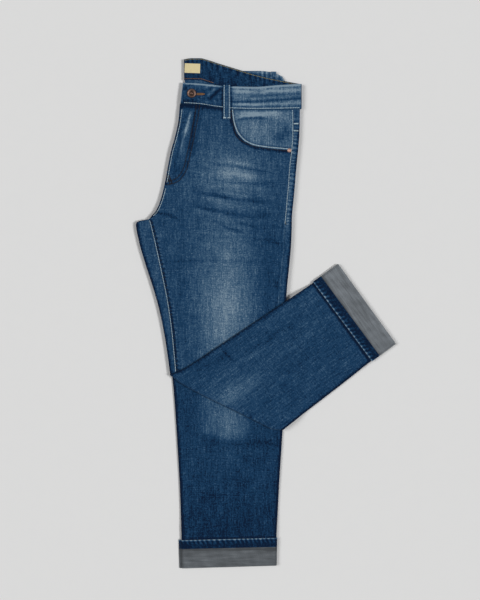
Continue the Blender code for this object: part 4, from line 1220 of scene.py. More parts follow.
class JEANS_OT_left_leg(bpy.types.Operator):
    """Makes the left front and back panels, with the leg turned back at the knee"""
    bl_idname = "jeans.left_leg"
    bl_label = "Left leg"

    def execute(self, context):
        size = settings().cloth.cell / MM
        lines = left_lines(size)

        def front_rise(x, y, side):
            return left_front_relief(x, y) * np.clip(side, 0.0, 1.0) * (past_fold(x, y) < -20.0)

        def back_rise(x, y, side):
            world = place_left(x, y, 0.0 * x)
            on_flap = smoothstep((past_fold(x, y) - FOLD_MARGIN) / 20.0) * smoothstep((y + 436.0) / 20.0)
            face = back_relief(world[..., 0], world[..., 1], FLAP_CREASES) * on_flap
            edge = 1.3 * seam_pucker(y, np.abs(x - LEFT_LEG["right"](y)), 14.0) * (y > -40.0)
            return edge * np.clip(side, 0.0, 1.0) - face * np.clip(-side, 0.0, 1.0)

        def back_shade(x, y, outer, side):
            world = outer[..., 0], outer[..., 1]
            strips = back_fade(x, y, LEFT_LEG, *world, [], [], STRIPS_TONE)
            flap = back_fade(x, y, LEFT_LEG, *world, FLAP_SPOTS, FLAP_STREAKS, 0.34)
            flap = flap + ridges(x - LEFT_LEG["left"](y), (2.6, 1.8, 0.22))
            # painted shadow of the cuff band: a dark line on the leg just above it
            flap = flap + ridges(y - LEFT_CUFF.band_left, (1.4, 2.2, -0.75))
            flap = flap + 0.025 * wander(x, 0.08 * y, 3.0, 2.0)
            return np.where(past_fold(x, y) > 0, flap, strips)

        grid = front_grid(LEFT_LEG, lines, pocket_end, size)
        front = panel("left_front_denim", grid, place_left, front_rise, front_shade, FRONT_BAND_CURVES)
        washed(front, "left_front",
               {"flat": (0.275, 0.897), "held": "folded", "area": 0.1745, "rests_on": ["inner_layers"]})
        grid = back_grid(LEFT_LEG, below_yoke(lines), size)
        back = panel("left_back_denim", grid, place_left, back_rise, back_shade)
        washed(back, "left_back",
               {"flat": (0.30, 0.85), "held": "folded", "area": 0.1235, "rests_on": ["left_front_denim"]})
        return {"FINISHED"}


class JEANS_OT_right_leg(bpy.types.Operator):
    """Makes the right front and back panels, which lie straight underneath"""
    bl_idname = "jeans.right_leg"
    bl_label = "Right leg"

    def execute(self, context):
        size = settings().cloth.cell / MM
        lines = right_lines(size)

        def front_rise(x, y, side):
            return np.zeros(x.shape)

        def back_rise(x, y, side):
            open_to_view = smoothstep((past_fold(x, y) - 7.0) / 16.0) * smoothstep((y + 426.0) / 14.0)
            rise = back_relief(x, y, SHIN_CREASES)
            for edge in ("left", "right"):
                rise = rise + seam_pucker(y, np.abs(x - RIGHT_LEG[edge](y)))
            return -rise * np.clip(-side, 0.0, 1.0) * open_to_view

        def back_shade(x, y, outer, side):
            base = 0.25 - 0.10 * smoothstep((-290.0 - y) / 120.0)
            base = base + 0.29 * block(x, y, (-77.7, -195.0), (44.0, 46.0), 34.0)
            shin = back_fade(x, y, RIGHT_LEG, x, y, SHIN_SPOTS, SHIN_STREAKS, base)
            share = (x - RIGHT_LEG["left"](y)) / (RIGHT_LEG["right"](y) - RIGHT_LEG["left"](y))
            band = blend(RIGHT_CUFF.band_left, RIGHT_CUFF.band_right, share)
            # painted shadow of the cuff band: a dark line on the leg just above it
            return np.where(side > 0.5, STRIPS_TONE, shin + ridges(y - band, (1.2, 1.6, -0.35)))

        grid = front_grid(RIGHT_LEG, lines, lambda sections: sections.outseam - SEAM / 2, size * 1.6)
        front = panel("right_front_denim", grid, place_right, front_rise, front_shade, FRONT_BAND_CURVES)
        washed(front, "right_front", {"flat": (0.275, 0.882), "held": "laid", "area": 0.1765})
        grid = back_grid(RIGHT_LEG, below_yoke(lines), size)
        back = panel("right_back_denim", grid, place_right, back_rise, back_shade)
        washed(back, "right_back",
               {"flat": (0.30, 0.835), "held": "laid", "area": 0.115, "rests_on": ["right_front_denim"]})
        return {"FINISHED"}


def yoke(name, leg, place, band_curves, node):
    """A back yoke: hidden side across the leg, rounded side edge and the strip on the front."""
    shares, columns = np.linspace(0.0, 1.0, 13), np.linspace(0.0, 1.0, 40)
    x = blend(YOKE_LEFT, YOKE_RIGHT, columns)[None, :] + 0.0 * shares[:, None]
    top = band_curves["lower"](x) - WAIST_PARTING
    y = blend(blend(YOKE_LEFT_Y, YOKE_Y, columns)[None, :], top, shares[:, None])
    sections = Sections(leg, [level(side_y) for side_y in blend(YOKE_Y, WAIST_Y + 2.0, shares)])
    skins = Skins(sections)
    skins.edge("right", range(EDGE_STEPS, -1, -1))
    for share in np.linspace(0.0, 1.0, 5)[1:]:
        skins.front(blend(sections.width - EDGE_RADIUS, sections.outseam + SEAM / 2, share))
    outer_d, outer_h, inner_d, inner_h = skins.grids()
    outer, inner = (np.hstack([place(x, y, 0.0 * x + flat), place(*sections.at(distance), height)])
                    for flat, distance, height in ((0.0, outer_d, outer_h), (CLOTH, inner_d, inner_h)))
    uv = stacked(np.hstack([x, outer_d - 120.0]), np.hstack([y, sections.at(outer_d)[1]]))
    shade = STRIPS_TONE + 0.06 * np.sin(outer[..., 1] / 1.3) + ridges(
        outer[..., 1] - YOKE_Y, (1.0, 1.8, -0.3), (4.5, 1.8, 0.25), (8.0, 1.8, -0.25), (14.0, 1.8, -0.3),
        (18.0, 1.8, 0.22))
    washed(cloth_wall(name, outer, inner, uv * MM, shade), node,
           {"flat": (0.235, 0.09), "held": "folded", "area": 0.0140})


class JEANS_OT_yokes(bpy.types.Operator):
    """Makes the two back yokes, whose ends show beside the pocket"""
    bl_idname = "jeans.yokes"
    bl_label = "Back yokes"

    def execute(self, context):
        yoke("left_yoke_denim", LEFT_LEG, place_left, LEFT_BACK_CURVES, "left_yoke")
        yoke("right_yoke_denim", RIGHT_LEG, place_right, RIGHT_BACK_CURVES, "right_yoke")
        return {"FINISHED"}


class JEANS_OT_pocket(bpy.types.Operator):
    """Makes the faded cloth inside the pocket mouth"""
    bl_idname = "jeans.pocket"
    bl_label = "Pocket facing"

    def execute(self, context):
        parting = SEAM + 0.2
        heights = np.concatenate([np.linspace(WAIST_Y, 335.0, 22), np.linspace(333.0, 319.0, 14)])
        columns = np.linspace(0.0, 1.0, 44)
        sections = Sections(LEFT_LEG, [level(y) for y in heights])
        end = sections.x_left + sections.outseam - SEAM / 2
        x = blend((MOUTH_X(heights) + parting)[:, None], end[:, None], columns)
        y = heights[:, None] + 0.0 * x
        lowest_x, lowest_y = x[-1], y[-1]
        last_x = blend(lowest_x[0] + 8.0, end[-1] - parting, columns)
        for share in (0.35, 0.7, 1.0):
            x = np.vstack([x, blend(lowest_x, last_x, share)])
            y = np.vstack([y, blend(lowest_y, MOUTH_Y(last_x) + parting, share)])
        y = under_band(x, y, FRONT_BAND_CURVES)
        dip = POCKET_DIP * (1.0 - smoothstep((x - LEFT_LEG["outseam"](y) + 22.0) / 20.0))
        folds = crease_sum(x, y, FACING_CREASES) * smoothstep((380.0 - y) / 8.0)
        top = THIGH_TOP - dip + folds + 0.05
        mouth, _ = distance_to_path(x, y, POCKET_MOUTH)
        shade = 0.70 + crease_sum(x, y, FACING_STREAKS) - 0.25 * bell(mouth, 2.5)
        # painted shadow under the waistband's lower edge
        shade = shade + ridges(FRONT_BAND_CURVES["lower"](x) - y, (1.6, 2.0, -0.40))
        outer, inner = stacked(x, y, top), stacked(x, y, top - CLOTH)
        piece = cloth_wall("pocket_facing_denim", outer, inner, stacked(x, y) * MM, shade)
        washed(piece, "left_pocket_facing",
               {"flat": (0.115, 0.078), "held": "laid", "area": 0.0073, "rests_on": ["inner_layers"]})
        return {"FINISHED"}


class JEANS_OT_inner_layers(bpy.types.Operator):
    """Gives the hidden layers between the fronts their denim"""
    bl_idname = "jeans.inner_layers"
    bl_label = "Hidden layers"

    def execute(self, context):
        node = frame["nodes"]["inner_layers"]
        material = plain_denim("hidden_denim")
        for slot in node.material_slots:
            slot.material = material
        return {"FINISHED"}


# Cuffs

def cuff_ring(width, low, high, inset, slip):
    """Distances and heights round a flattened cuff, closed, starting on its high side at the left."""
    margin, radius = CUFF_MARGIN - inset, (high - low) / 2
    shares = np.arange(1, CUFF_COLUMNS) / CUFF_COLUMNS
    distances, heights = [], []
    for centre, turn, flat, step in ((radius - margin, math.pi / 2, low, 1),
                                     (width - radius + margin, -math.pi / 2, high, -1)):
        angles = turn + math.pi * np.arange(EDGE_STEPS + 1) / EDGE_STEPS
        distances += [centre + radius * np.cos(angles), width * shares[::step]]
        heights += [low + radius + radius * np.sin(angles), np.full(len(shares), flat)]
    distance, height = np.concatenate(distances)[None, :], np.concatenate(heights)[None, :]
    middle = (low + high) / 2
    slid = slip * smoothstep((height - middle) / (high - middle)) * bell(np.maximum(distance, 0.0), 30.0)
    return distance - slid, height


def ring_wall(name, leg, rows, place, shade, slip, wave=None):
    """A closed wall of rings round a leg. Each row has a line and a shape for both of its skins."""
    skins, across, along = [], [], []
    for row in rows:
        rings = []
        for line, (low, high, inset) in row:
            section = Sections(leg, [line])
            distance, height = cuff_ring(section.width[0], low, high, inset, slip)
            x, y = section.at(distance)
            if wave:
                height = height - wave(distance, y) * (height < (low + high) / 2)
            rings.append((place(x, y, height, 0.0)[0], distance[0], y[0]))
        skins.append([rings[0][0], rings[1][0]])
        across.append(rings[0][1])
        along.append(rings[0][2])
    outer, inner = np.stack(skins, axis=1)
    across, along = np.stack(across), np.stack(along)
    steps = np.linalg.norm(np.diff(outer[..., :2], axis=1, append=outer[:, :1, :2]), axis=2)
    round_it = np.concatenate([np.zeros((len(outer), 1)), np.cumsum(np.maximum(steps, 0.7), axis=1)], axis=1)
    uv = stacked(round_it, np.concatenate([along, along[:, :1]], axis=1)) * MM
    return cloth_wall(name, outer, inner, uv, shade(across, along), closed=True)


def cuff_pieces(side, leg, cuff, place):
    low, high = LEG_HEIGHT - CUFF_HEIGHT, LEG_HEIGHT
    inside = (low + CLOTH, high - CLOTH, CLOTH)
    roll = CUFF_LIFT - SEAM / 2
    top = Line(cuff.seam_left - SEAM / 2, cuff.seam_right - SEAM / 2)
    bottom = Line(cuff.turn_left + roll, cuff.turn_right + roll)
    rows = [((line, (low, high, 0.0)), (line, inside)) for line in down(top, bottom, 10)]
    for k in range(1, ROLL_STEPS + 1):
        angle = math.pi * k / ROLL_STEPS
        row = []
        for radius in (roll, roll - CLOTH):
            inset, past = roll - radius * math.cos(angle), radius * math.sin(angle)
            line = Line(bottom.y_left - past, bottom.y_right - past)
            row.append((line, (low + inset, high - inset, inset)))
        rows.append(row)

    def grey(distance, y):
        tone = 0.46 + cuff.tint + 0.12 * wander(distance, y, 30.0) + 0.06 * wander(0.15 * distance, y, 3.5)
        tone = tone + 0.16 * wander(0.5 * distance, y, 6.0, 2.0)
        tone = tone + ridges(y, (top.y_left, 2.6, -0.55), (bottom.y_left, 2.5, 0.12))
        # painted shade: a dark line at the step where the lower layer shows past the upper one
        return tone + ridges(distance, (-0.8, 0.9, -0.5)) * (cuff.slip > 0)

    piece = ring_wall(side + "_cuff_denim", leg, rows, place, grey, cuff.slip)
    finish_piece(piece, wrong_side("turn_up_wrong_side"), "denim_wrong_side", [side + "_cuff"],
                 {"flat": (cuff.cut, 0.0428), "held": "folded", "rests_on": [side + "_back_denim"]})

    upper = Line(cuff.band_left, cuff.band_right)
    lower = Line(cuff.seam_left + SEAM / 2, cuff.seam_right + SEAM / 2)
    width = Sections(leg, [upper]).width[0]
    rows = [((line, (low - BAND_PROUD * share, high, 0.0)), (line, inside))
            for line, share in zip(down(upper, lower, len(BAND_PROFILE) - 1), BAND_PROFILE)]

    def slant(distance, y):
        return np.sin(distance / 1.4 + (y - upper.y_left) * 0.28 + 2.0 * np.sin(distance / 23.0))

    def navy(distance, y):
        start = blend(upper.y_left, upper.y_right, distance / width)
        fallen = (start - y) / (start - blend(lower.y_left, lower.y_right, distance / width))
        ribs = (0.22 + 0.40 * slant(distance, y)) * (0.7 + 0.3 * wander(distance, y, 14.0))
        tone = 0.05 * wander(distance, y, 8.0) + ribs * smoothstep((0.62 - fallen) / 0.35)
        tone = tone + ridges(fallen, (0.24, 0.08, -0.22), (0.0, 0.11, 0.75))
        return tone + 0.10 * smoothstep((fallen - 0.9) / 0.1)

    piece = ring_wall(side + "_cuff_band_denim", leg, rows, place, navy, cuff.slip,
                      lambda distance, y: 0.20 * slant(distance, y))
    finish_piece(piece, denim("hem_denim", 0.8), "denim_dark", [side + "_cuff_band"],
                 {"flat": (cuff.cut, 0.02), "held": "folded", "rests_on": [side + "_back_denim"]})


class JEANS_OT_cuffs(bpy.types.Operator):
    """Makes both turned-up cuffs and their dark hem allowances"""
    bl_idname = "jeans.cuffs"
    bl_label = "Turned-up cuffs"

    def execute(self, context):
        cuff_pieces("right", RIGHT_LEG, RIGHT_CUFF, place_right)
        cuff_pieces("left", LEFT_LEG, LEFT_CUFF, place_left)
        return {"FINISHED"}


# Waistband

def rolled_off(from_start, from_end, reach, depth):
    """Rounds both ends of a face down."""
    return depth * (smoothstep(from_start / reach) + smoothstep(from_end / reach) - 2)


def band_face_relief(x, y, lower, upper):
    """Soft ridges along the waistband's front, and its slightly rounded edges."""
    share = (y - lower) / (upper - lower)
    worn = smoothstep((x + 66.0) / 12.0)
    ridged = ridges(share, (0.26, 0.10, 0.35), (0.66, 0.12, 0.3))
    ridged = ridged + ridges(share - 0.0006 * x, (0.42, 0.05, -0.3))
    calm = 0.16 * wander(x, y, 16.0, 2.0) * (1 - worn)
    return rolled_off(share, 1 - share, 0.05, 0.4) + ridged * worn + calm


def band_shade(x, y, lower, upper):
    share = (y - lower) / (upper - lower)
    worn = smoothstep((x + 70.0) / 10.0)
    shade = 0.31 + 0.38 * worn + ridges(share, (0.96, 0.03, 0.70), (0.0, 0.05, -0.16))
    shade = shade + ridges(share - 0.0009 * x, (0.36, 0.05, -0.45)) * worn
    shade = shade + ridges(share, (0.60, 0.05, -0.22)) * worn * smoothstep((x + 40.0) / 30.0)
    shade = shade + ridges(share, (0.22, 0.06, 0.16), (0.76, 0.07, 0.18), (0.115, 0.03, -0.30)) * worn
    shade = shade + 0.14 * wander(x, y, 5.0, 1.0) * (1.0 - 0.6 * worn)
    shade = shade + 0.06 * wander(0.1 * x, y, 2.2, 3.0) * worn
    # minus painted shade at both sides of the front belt loop
    return shade + crease_sum(x, y, BAND_STREAKS) - loop_side_shade(x)


def inner_band_ripple(x):
    return np.sin(x / 1.7 + 3.0 * np.sin(x / 21.0))


def inner_band_shade(x, y, lower, upper):
    share = (y - lower) / (upper - lower)
    shade = 0.20 + 0.12 * wander(x, y, 6.0) + 0.22 * inner_band_ripple(x) * smoothstep((share - 0.6) / 0.3)
    return shade - 0.10 * smoothstep((0.45 - share) / 0.4) - 0.12 * bell(share - 0.86, 0.03)


def inner_band_relief(x, y, lower, upper):
    share = (y - lower) / (upper - lower)
    open_to_view = smoothstep((y - FRONT_BAND_CURVES["upper"](x) - 1.0) / 5.0)
    ripple = 0.10 * inner_band_ripple(x) * smoothstep((share - 0.62) / 0.3)
    return (ripple + 0.12 * wander(x, y, 14.0)) * open_to_view


def waistband(name, back_curves, back_left, front_outer, back_outer, middle, node):
    """Half a waistband, from the centre front round the side to the back."""
    up = 1.0 if front_outer > back_outer else -1.0
    side_x, side_reach, side_steps = FRONT_BAND_EDGES[-1].x, 2.0, 8
    share = np.linspace(0.0, 1.0, 21)
    front_x = np.linspace(FRONT_BAND_EDGES[0].x, side_x, 90)
    step = abs(front_x[1] - front_x[0])
    rows_out, rows_in, shades, steps = [], [], [], [0.0]

    def row(x, lower, upper, z_out, x_in, z_in, face, onward):
        y = blend(lower, upper, share)
        lean = 4.9 * (share - 0.8) * smoothstep((-130.0 - x) / 28.0) * (face == "front")
        outer_x = x + lean
        relief = inner_relief = 0.0
        tone = np.full(len(share), 0.36)
        if face == "front" and up > 0:
            relief = band_face_relief(outer_x, y, lower, upper)
            tone = band_shade(outer_x, y, lower, upper)
        elif face == "back" and up > 0:
            inner_relief = inner_band_relief(outer_x, y, lower, upper)
            tone = inner_band_shade(outer_x, y, lower, upper)
        elif face == "back":
            relief = 0.10 * wander(outer_x, y, 9.0, 1.0)
            tone = 0.34 + 0.10 * wander(outer_x, y, 9.0) + 0.36 * bell(share - 0.95, 0.05)
            twist = np.sin(x / 1.7 + 2.0 * np.sin(x / 13.0))
            tone = tone + (0.12 + 0.28 * twist) * smoothstep((x + 18.0) / 8.0)
        rows_out.append(stacked(outer_x, y, z_out + relief))
        rows_in.append(stacked(x_in + lean, y, z_in + inner_relief))
        shades.append(tone)
        steps.append(onward)

    parting = up * SEAM / 2
    for x in front_x:
        row(x, FRONT_BAND_CURVES["lower"](x), FRONT_BAND_CURVES["upper"](x), front_outer, x, middle + parting,
            "front", step)
    for k in range(1, side_steps):
        turn = k / side_steps
        angle = math.pi / 2 - math.pi * turn
        radius = abs((front_outer if angle > 0 else back_outer) - middle)
        rise, reach = up * math.sin(angle), math.cos(angle)
        lower, upper = (blend(FRONT_BAND_CURVES[edge](side_x), back_curves[edge](side_x), turn)
                        for edge in ("lower", "upper"))
        row(side_x + side_reach * reach, lower, upper, middle + radius * rise, side_x + SEAM / 2 * reach,
            middle + SEAM / 2 * rise, "side", 0.9)
    for x in np.linspace(side_x, back_left, 90):
        row(x, back_curves["lower"](x), back_curves["upper"](x), back_outer, x, middle - parting, "back",
            step)
    uv = stacked(np.cumsum(steps[:-1])[:, None] * MM, share * WAISTBAND_CUT)
    washed(cloth_wall(name, np.stack(rows_out), np.stack(rows_in), uv, np.stack(shades)), node,
           {"flat": (0.455, 0.0435), "held": "folded"})


class JEANS_OT_waistbands(bpy.types.Operator):
    """Makes both halves of the waistband"""
    bl_idname = "jeans.waistbands"
    bl_label = "Waistbands"

    def execute(self, context):
        waistband("right_waistband_denim", RIGHT_BACK_CURVES, RIGHT_BACK_EDGES[0].x, 0.0, RIGHT_BAND_TOP,
                  BACK_BAND + SEAM / 2, "right_waistband")
        waistband("left_waistband_denim", LEFT_BACK_CURVES, LEFT_BACK_EDGES[0].x, LEFT_BAND_TOP,
                  LEFT_BAND_LOW, LEFT_BAND_INNER + SEAM / 2, "left_waistband")
        return {"FINISHED"}


# Trim

def loop_heights(y):
    """Height of the front belt loop's underside along it."""
    climb = smoothstep((y - (FRONT_LOOP_STEP_Y - 9.0)) / 9.0)
    reach = np.clip((y - FRONT_LOOP_STEP_Y) / (FRONT_LOOP.top - FRONT_LOOP_STEP_Y), 0.0, 1.0)
    return blend(THIGH_TOP + SEAM + 0.35, LEFT_BAND_TOP + SEAM + 0.1, climb) + 0.7 * np.sin(np.pi * reach)


def belt_loop(name, loop, cut, heights, rows, node, tone):
    y = np.linspace(loop.bottom, loop.top, rows)
    share = np.linspace(0.0, 1.0, 15)
    x, up = blend(loop.left, loop.right, share), y[:, None]
    base = heights(up)
    edges = ridges(share, (0.0, 0.05, -0.5), (0.22, 0.05, -0.22), (0.78, 0.05, -0.22), (1.0, 0.05, -0.5))
    face = 0.35 * np.sin(np.pi * share) + ridges(share, (0.5, 0.12, 0.28)) + edges
    top = base + LOOP_THICKNESS - 0.35 + face + rolled_off(up - y[0], y[-1] - up, 1.5, 0.4)
    shade = tone + ridges(share, (0.12, 0.10, 0.20), (0.88, 0.10, 0.22), (0.5, 0.10, 0.10))
    piece = cloth_wall(name, stacked(x, up, top), stacked(x, up, base), stacked(x - loop.left, up) * MM,
                       shade + 0.06 * wander(x, up, 8.0))
    washed(piece, node, {"flat": (cut, (y[-1] - y[0]) * MM), "held": "folded"}, "denim_dark")


class JEANS_OT_belt_loops(bpy.types.Operator):
    """Makes the front belt loop and the end of a back one"""
    bl_idname = "jeans.belt_loops"
    bl_label = "Belt loops"

    def execute(self, context):
        belt_loop("front_loop_denim", FRONT_LOOP, FRONT_LOOP_CUT, loop_heights, 60, "front_belt_loop", 0.42)
        belt_loop("back_loop_denim", BACK_LOOP, BACK_LOOP_CUT, lambda y: 0.0 * y + RIGHT_BAND_TOP + SEAM, 16,
                  "right_back_belt_loop", 0.50)
        return {"FINISHED"}


class JEANS_OT_label(bpy.types.Operator):
    """Makes the bare label inside the waistband"""
    bl_idname = "jeans.label"
    bl_label = "Waistband label"

    def execute(self, context):
        u = np.linspace(0.0, 1.0, 25)
        v = u[:, None]
        x, y = blend(LABEL.left, LABEL.right, u), blend(LABEL.bottom, LABEL.top, v)
        near = np.minimum(np.minimum(u, 1 - u), np.minimum(v, 1 - v))
        lift = (0.30 + 0.10 * wander(x, y, 7.0)) * smoothstep(near / 0.12)
        z = LEFT_BAND_INNER + SEAM + lift + 0.12
        middle_x, middle_y = (LABEL.left + LABEL.right) / 2, (LABEL.bottom + LABEL.top) / 2
        c, s = math.cos(LABEL_TILT), math.sin(LABEL_TILT)
        x, y = x - middle_x, y - middle_y
        turned_x, turned_y = middle_x + x * c - y * s, middle_y + x * s + y * c
        piece = cloth_wall("bare_label", stacked(turned_x, turned_y, z + LABEL_THICKNESS),
                           stacked(turned_x, turned_y, z), stacked(x, y) * MM, np.full(z.shape, 0.5))
        finish_piece(piece, label_cloth("bare_label_cloth"), "blank_label", ["waistband_label"],
                     {"flat": (0.030, 0.019), "held": "laid", "rests_on": ["left_waistband_denim"]})
        return {"FINISHED"}


def turned(name, profile, at, z, segments=56):
    """A turned piece: a profile of radius, height and how rubbed it is, from its top middle out and under."""
    bm = bmesh.new()
    tone = bm.verts.layers.float.new("fade")
    rings = []
    for radius, height, rub in profile:
        ring = []
        for k in range(segments if radius > 0 else 1):
            angle = 2 * math.pi * k / segments
            point = (at[0] + radius * math.cos(angle), at[1] + radius * math.sin(angle), z + height)
            vert = bm.verts.new([value * MM for value in point])
            vert[tone] = rub
            ring.append(vert)
        rings.append(ring)
    for first, second in zip(rings, rings[1:]):
        for k in range(segments):
            after = k + 1
            corners = (first[k % len(first)], first[after % len(first)], second[after % len(second)],
                       second[k % len(second)])
            bm.faces.new(list(dict.fromkeys(corners)))
    mesh = bpy.data.meshes.new(name)
    bm.to_mesh(mesh)
    bm.free()
    face_out(mesh)
    return add_object(name, mesh)


class JEANS_OT_metal(bpy.types.Operator):
    """Makes the waistband button and the pocket rivet"""
    bl_idname = "jeans.metal"
    bl_label = "Button and rivet"

    def execute(self, context):
        high, rim = BUTTON_HEIGHT, BUTTON_RADIUS
        profile = [(0.0, high - 0.1, 0.9), (0.9, high - 0.15, 0.9), (1.5, high - 0.45, 0.5),
                   (2.2, high - 0.85, 0.1), (3.2, high - 0.95, 0.15), (4.6, high - 0.8, 0.3),
                   (5.6, high - 0.5, 0.45), (6.2, high - 0.15, 0.8), (6.8, high - 0.02, 0.95),
                   (7.4, high - 0.12, 0.8), (8.1, high - 0.6, 0.5), (rim, high - 1.3, 0.45),
                   (rim - 0.1, high - 1.8, 0.2), (8.1, 0.7, 0.05), (6.0, 0.1, 0.0), (0.0, 0.1, 0.0)]
        button = turned("jeans_button", profile, BUTTON_AT, LEFT_BAND_TOP + SEAM)
        finish_piece(button, antique_metal("antique_copper_plating", 1.0, 0.85), "antique_copper", ["button"])
        top, rim = RIVET_HEIGHT, RIVET_RADIUS
        profile = [(0.0, top, 1.0), (0.8, top, 1.0), (1.3, top - 0.25, 0.5), (1.7, top - 0.3, 0.4),
                   (2.4, top - 0.1, 0.9), (3.1, top - 0.2, 0.7), (3.6, 0.35, 0.4), (rim, 0.1, 0.2),
                   (rim - 0.2, 0.0, 0.0), (0.0, 0.0, 0.0)]
        rivet = turned("jeans_rivet", profile, RIVET_AT, THIGH_TOP + SEAM + 0.7, 32)
        rubbed = antique_metal("rubbed_copper_plating", 3.2, 0.6)
        finish_piece(rivet, rubbed, "antique_copper", ["pocket_rivet"])
        return {"FINISHED"}


# Stitching

def stitch_tree():
    """Geometry Nodes: stitches laid end to end along paths."""
    tree = bpy.data.node_groups.new("stitch_run", "GeometryNodeTree")
    face = tree.interface
    face.new_socket("Geometry", in_out="INPUT", socket_type="NodeSocketGeometry")
    for name in ("Pitch", "Length", "Width", "Height", "Turn"):
        face.new_socket(name, in_out="INPUT", socket_type="NodeSocketFloat")
    face.new_socket("Thread", in_out="INPUT", socket_type="NodeSocketMaterial")
    face.new_socket("Geometry", in_out="OUTPUT", socket_type="NodeSocketGeometry")

    def add(kind, inputs=None, **values):
        return add_node(tree, kind, inputs, **values).outputs

    source = add("NodeGroupInput")
    path = add("GeometryNodeMeshToCurve", {"Mesh": source["Geometry"]})
    spread = add("GeometryNodeResampleCurve", {"Curve": path["Curve"], "Length": source["Pitch"]},
                 mode="LENGTH")
    bead = add("GeometryNodeMeshUVSphere", {"Segments": 6, "Rings": 5, "Radius": 0.5})
    soft = add("GeometryNodeSetShadeSmooth", {"Geometry": bead["Mesh"]})
    tangent = add("GeometryNodeInputTangent")
    facing = add("FunctionNodeAxesToRotation",
                 {"Primary Axis": tangent["Tangent"], "Secondary Axis": (0.0, 0.0, 1.0)},
                 primary_axis="X", secondary_axis="Z")
    angles = add("ShaderNodeCombineXYZ", {"Z": source["Turn"]})
    turn = add("FunctionNodeEulerToRotation", {0: angles[0]})
    rotate = add("FunctionNodeRotateRotation", {"Rotation": facing["Rotation"], "Rotate By": turn[0]},
                 rotation_space="LOCAL")
    size = add("ShaderNodeCombineXYZ", {"X": source["Length"], "Y": source["Width"], "Z": source["Height"]})
    place = add("GeometryNodeInstanceOnPoints", {"Points": spread["Curve"], "Instance": soft["Geometry"],
                                                 "Rotation": rotate[0], "Scale": size[0]})
    real = add("GeometryNodeRealizeInstances", {"Geometry": place["Instances"]})
    sewn = add("GeometryNodeSetMaterial", {"Geometry": real["Geometry"], "Material": source["Thread"]})
    add("NodeGroupOutput", {0: sewn["Geometry"]})
    return tree


def sew(name, paths, material, pitch, length, width, turn=0.0):
    """Sews stitches along paths of points in millimetres, as one piece."""
    points, edges = [], []
    for path in paths:
        first = len(points)
        points += (np.array(path) * MM).tolist()
        edges += [(k, k + 1) for k in range(first, len(points) - 1)]
    mesh = bpy.data.meshes.new(name + "_path")
    mesh.from_pydata(points, edges, [])
    guide = add_object(name + "_path", mesh)
    modifier = guide.modifiers.new("stitches", "NODES")
    modifier.node_group = bpy.data.node_groups.get("stitch_run") or stitch_tree()
    values = {"Pitch": pitch, "Length": length, "Width": width, "Height": width * 0.8, "Turn": turn,
              "Thread": material}
    for item in modifier.node_group.interface.items_tree:
        if item.item_type == "SOCKET" and item.in_out == "INPUT" and item.name in values:
            modifier[item.identifier] = values[item.name]
    shown = guide.evaluated_get(bpy.context.evaluated_depsgraph_get())
    made = bpy.data.meshes.new_from_object(shown)
    guide.modifiers.remove(modifier)
    bpy.data.objects.remove(guide)
    if not len(made.polygons):
        raise RuntimeError("no stitches were made for " + name)
    finish_piece(add_object(name, made), material, slot="denim", nodes=[])


def along(points, step=1.5):
    """A smooth path through points in plan, as arrays of x and y."""
    points = np.array(points, float)
    reach = np.concatenate([[0.0], np.cumsum(np.hypot(*np.diff(points, axis=0).T))])
    count = max(2, int(reach[-1] / step))
    where = np.linspace(0.0, reach[-1], count)
    return smooth_through(reach, points[:, 0])(where), smooth_through(reach, points[:, 1])(where)


def beside(x, y, offset):
    """A path moved sideways."""
    dx, dy = np.gradient(x), np.gradient(y)
    length = np.hypot(dx, dy)
    return x - dy / length * offset, y + dx / length * offset


def on_thigh(x, y):
    """Points on the left front's face."""
    return place_left(x, y, LEG_HEIGHT + left_front_relief(x, y) + THREAD_PROUD)


def on_front_band(x, y, proud=THREAD_PROUD):
    lower, upper = FRONT_BAND_CURVES["lower"](x), FRONT_BAND_CURVES["upper"](x)
    return stacked(x, y, LEFT_BAND_TOP + band_face_relief(x, y, lower, upper) + proud)


def on_inner_band(x, y):
    lower, upper = LEFT_BACK_CURVES["lower"](x), LEFT_BACK_CURVES["upper"](x)
    return stacked(x, y, LEFT_BAND_INNER + inner_band_relief(x, y, lower, upper) + THREAD_PROUD)


def seam_path(column, top, bottom, offset):
    y = np.linspace(top, bottom, max(2, int((top - bottom) / 2.0)))
    return on_thigh(LEFT_LEG[column](y) + offset, y)


def tack(start, end):
    """A bar tack's line on the thigh, from start to end in plan."""
    share = np.linspace(0.0, 1.0, 6)
    return on_thigh(blend(start[0], end[0], share), blend(start[1], end[1], share))


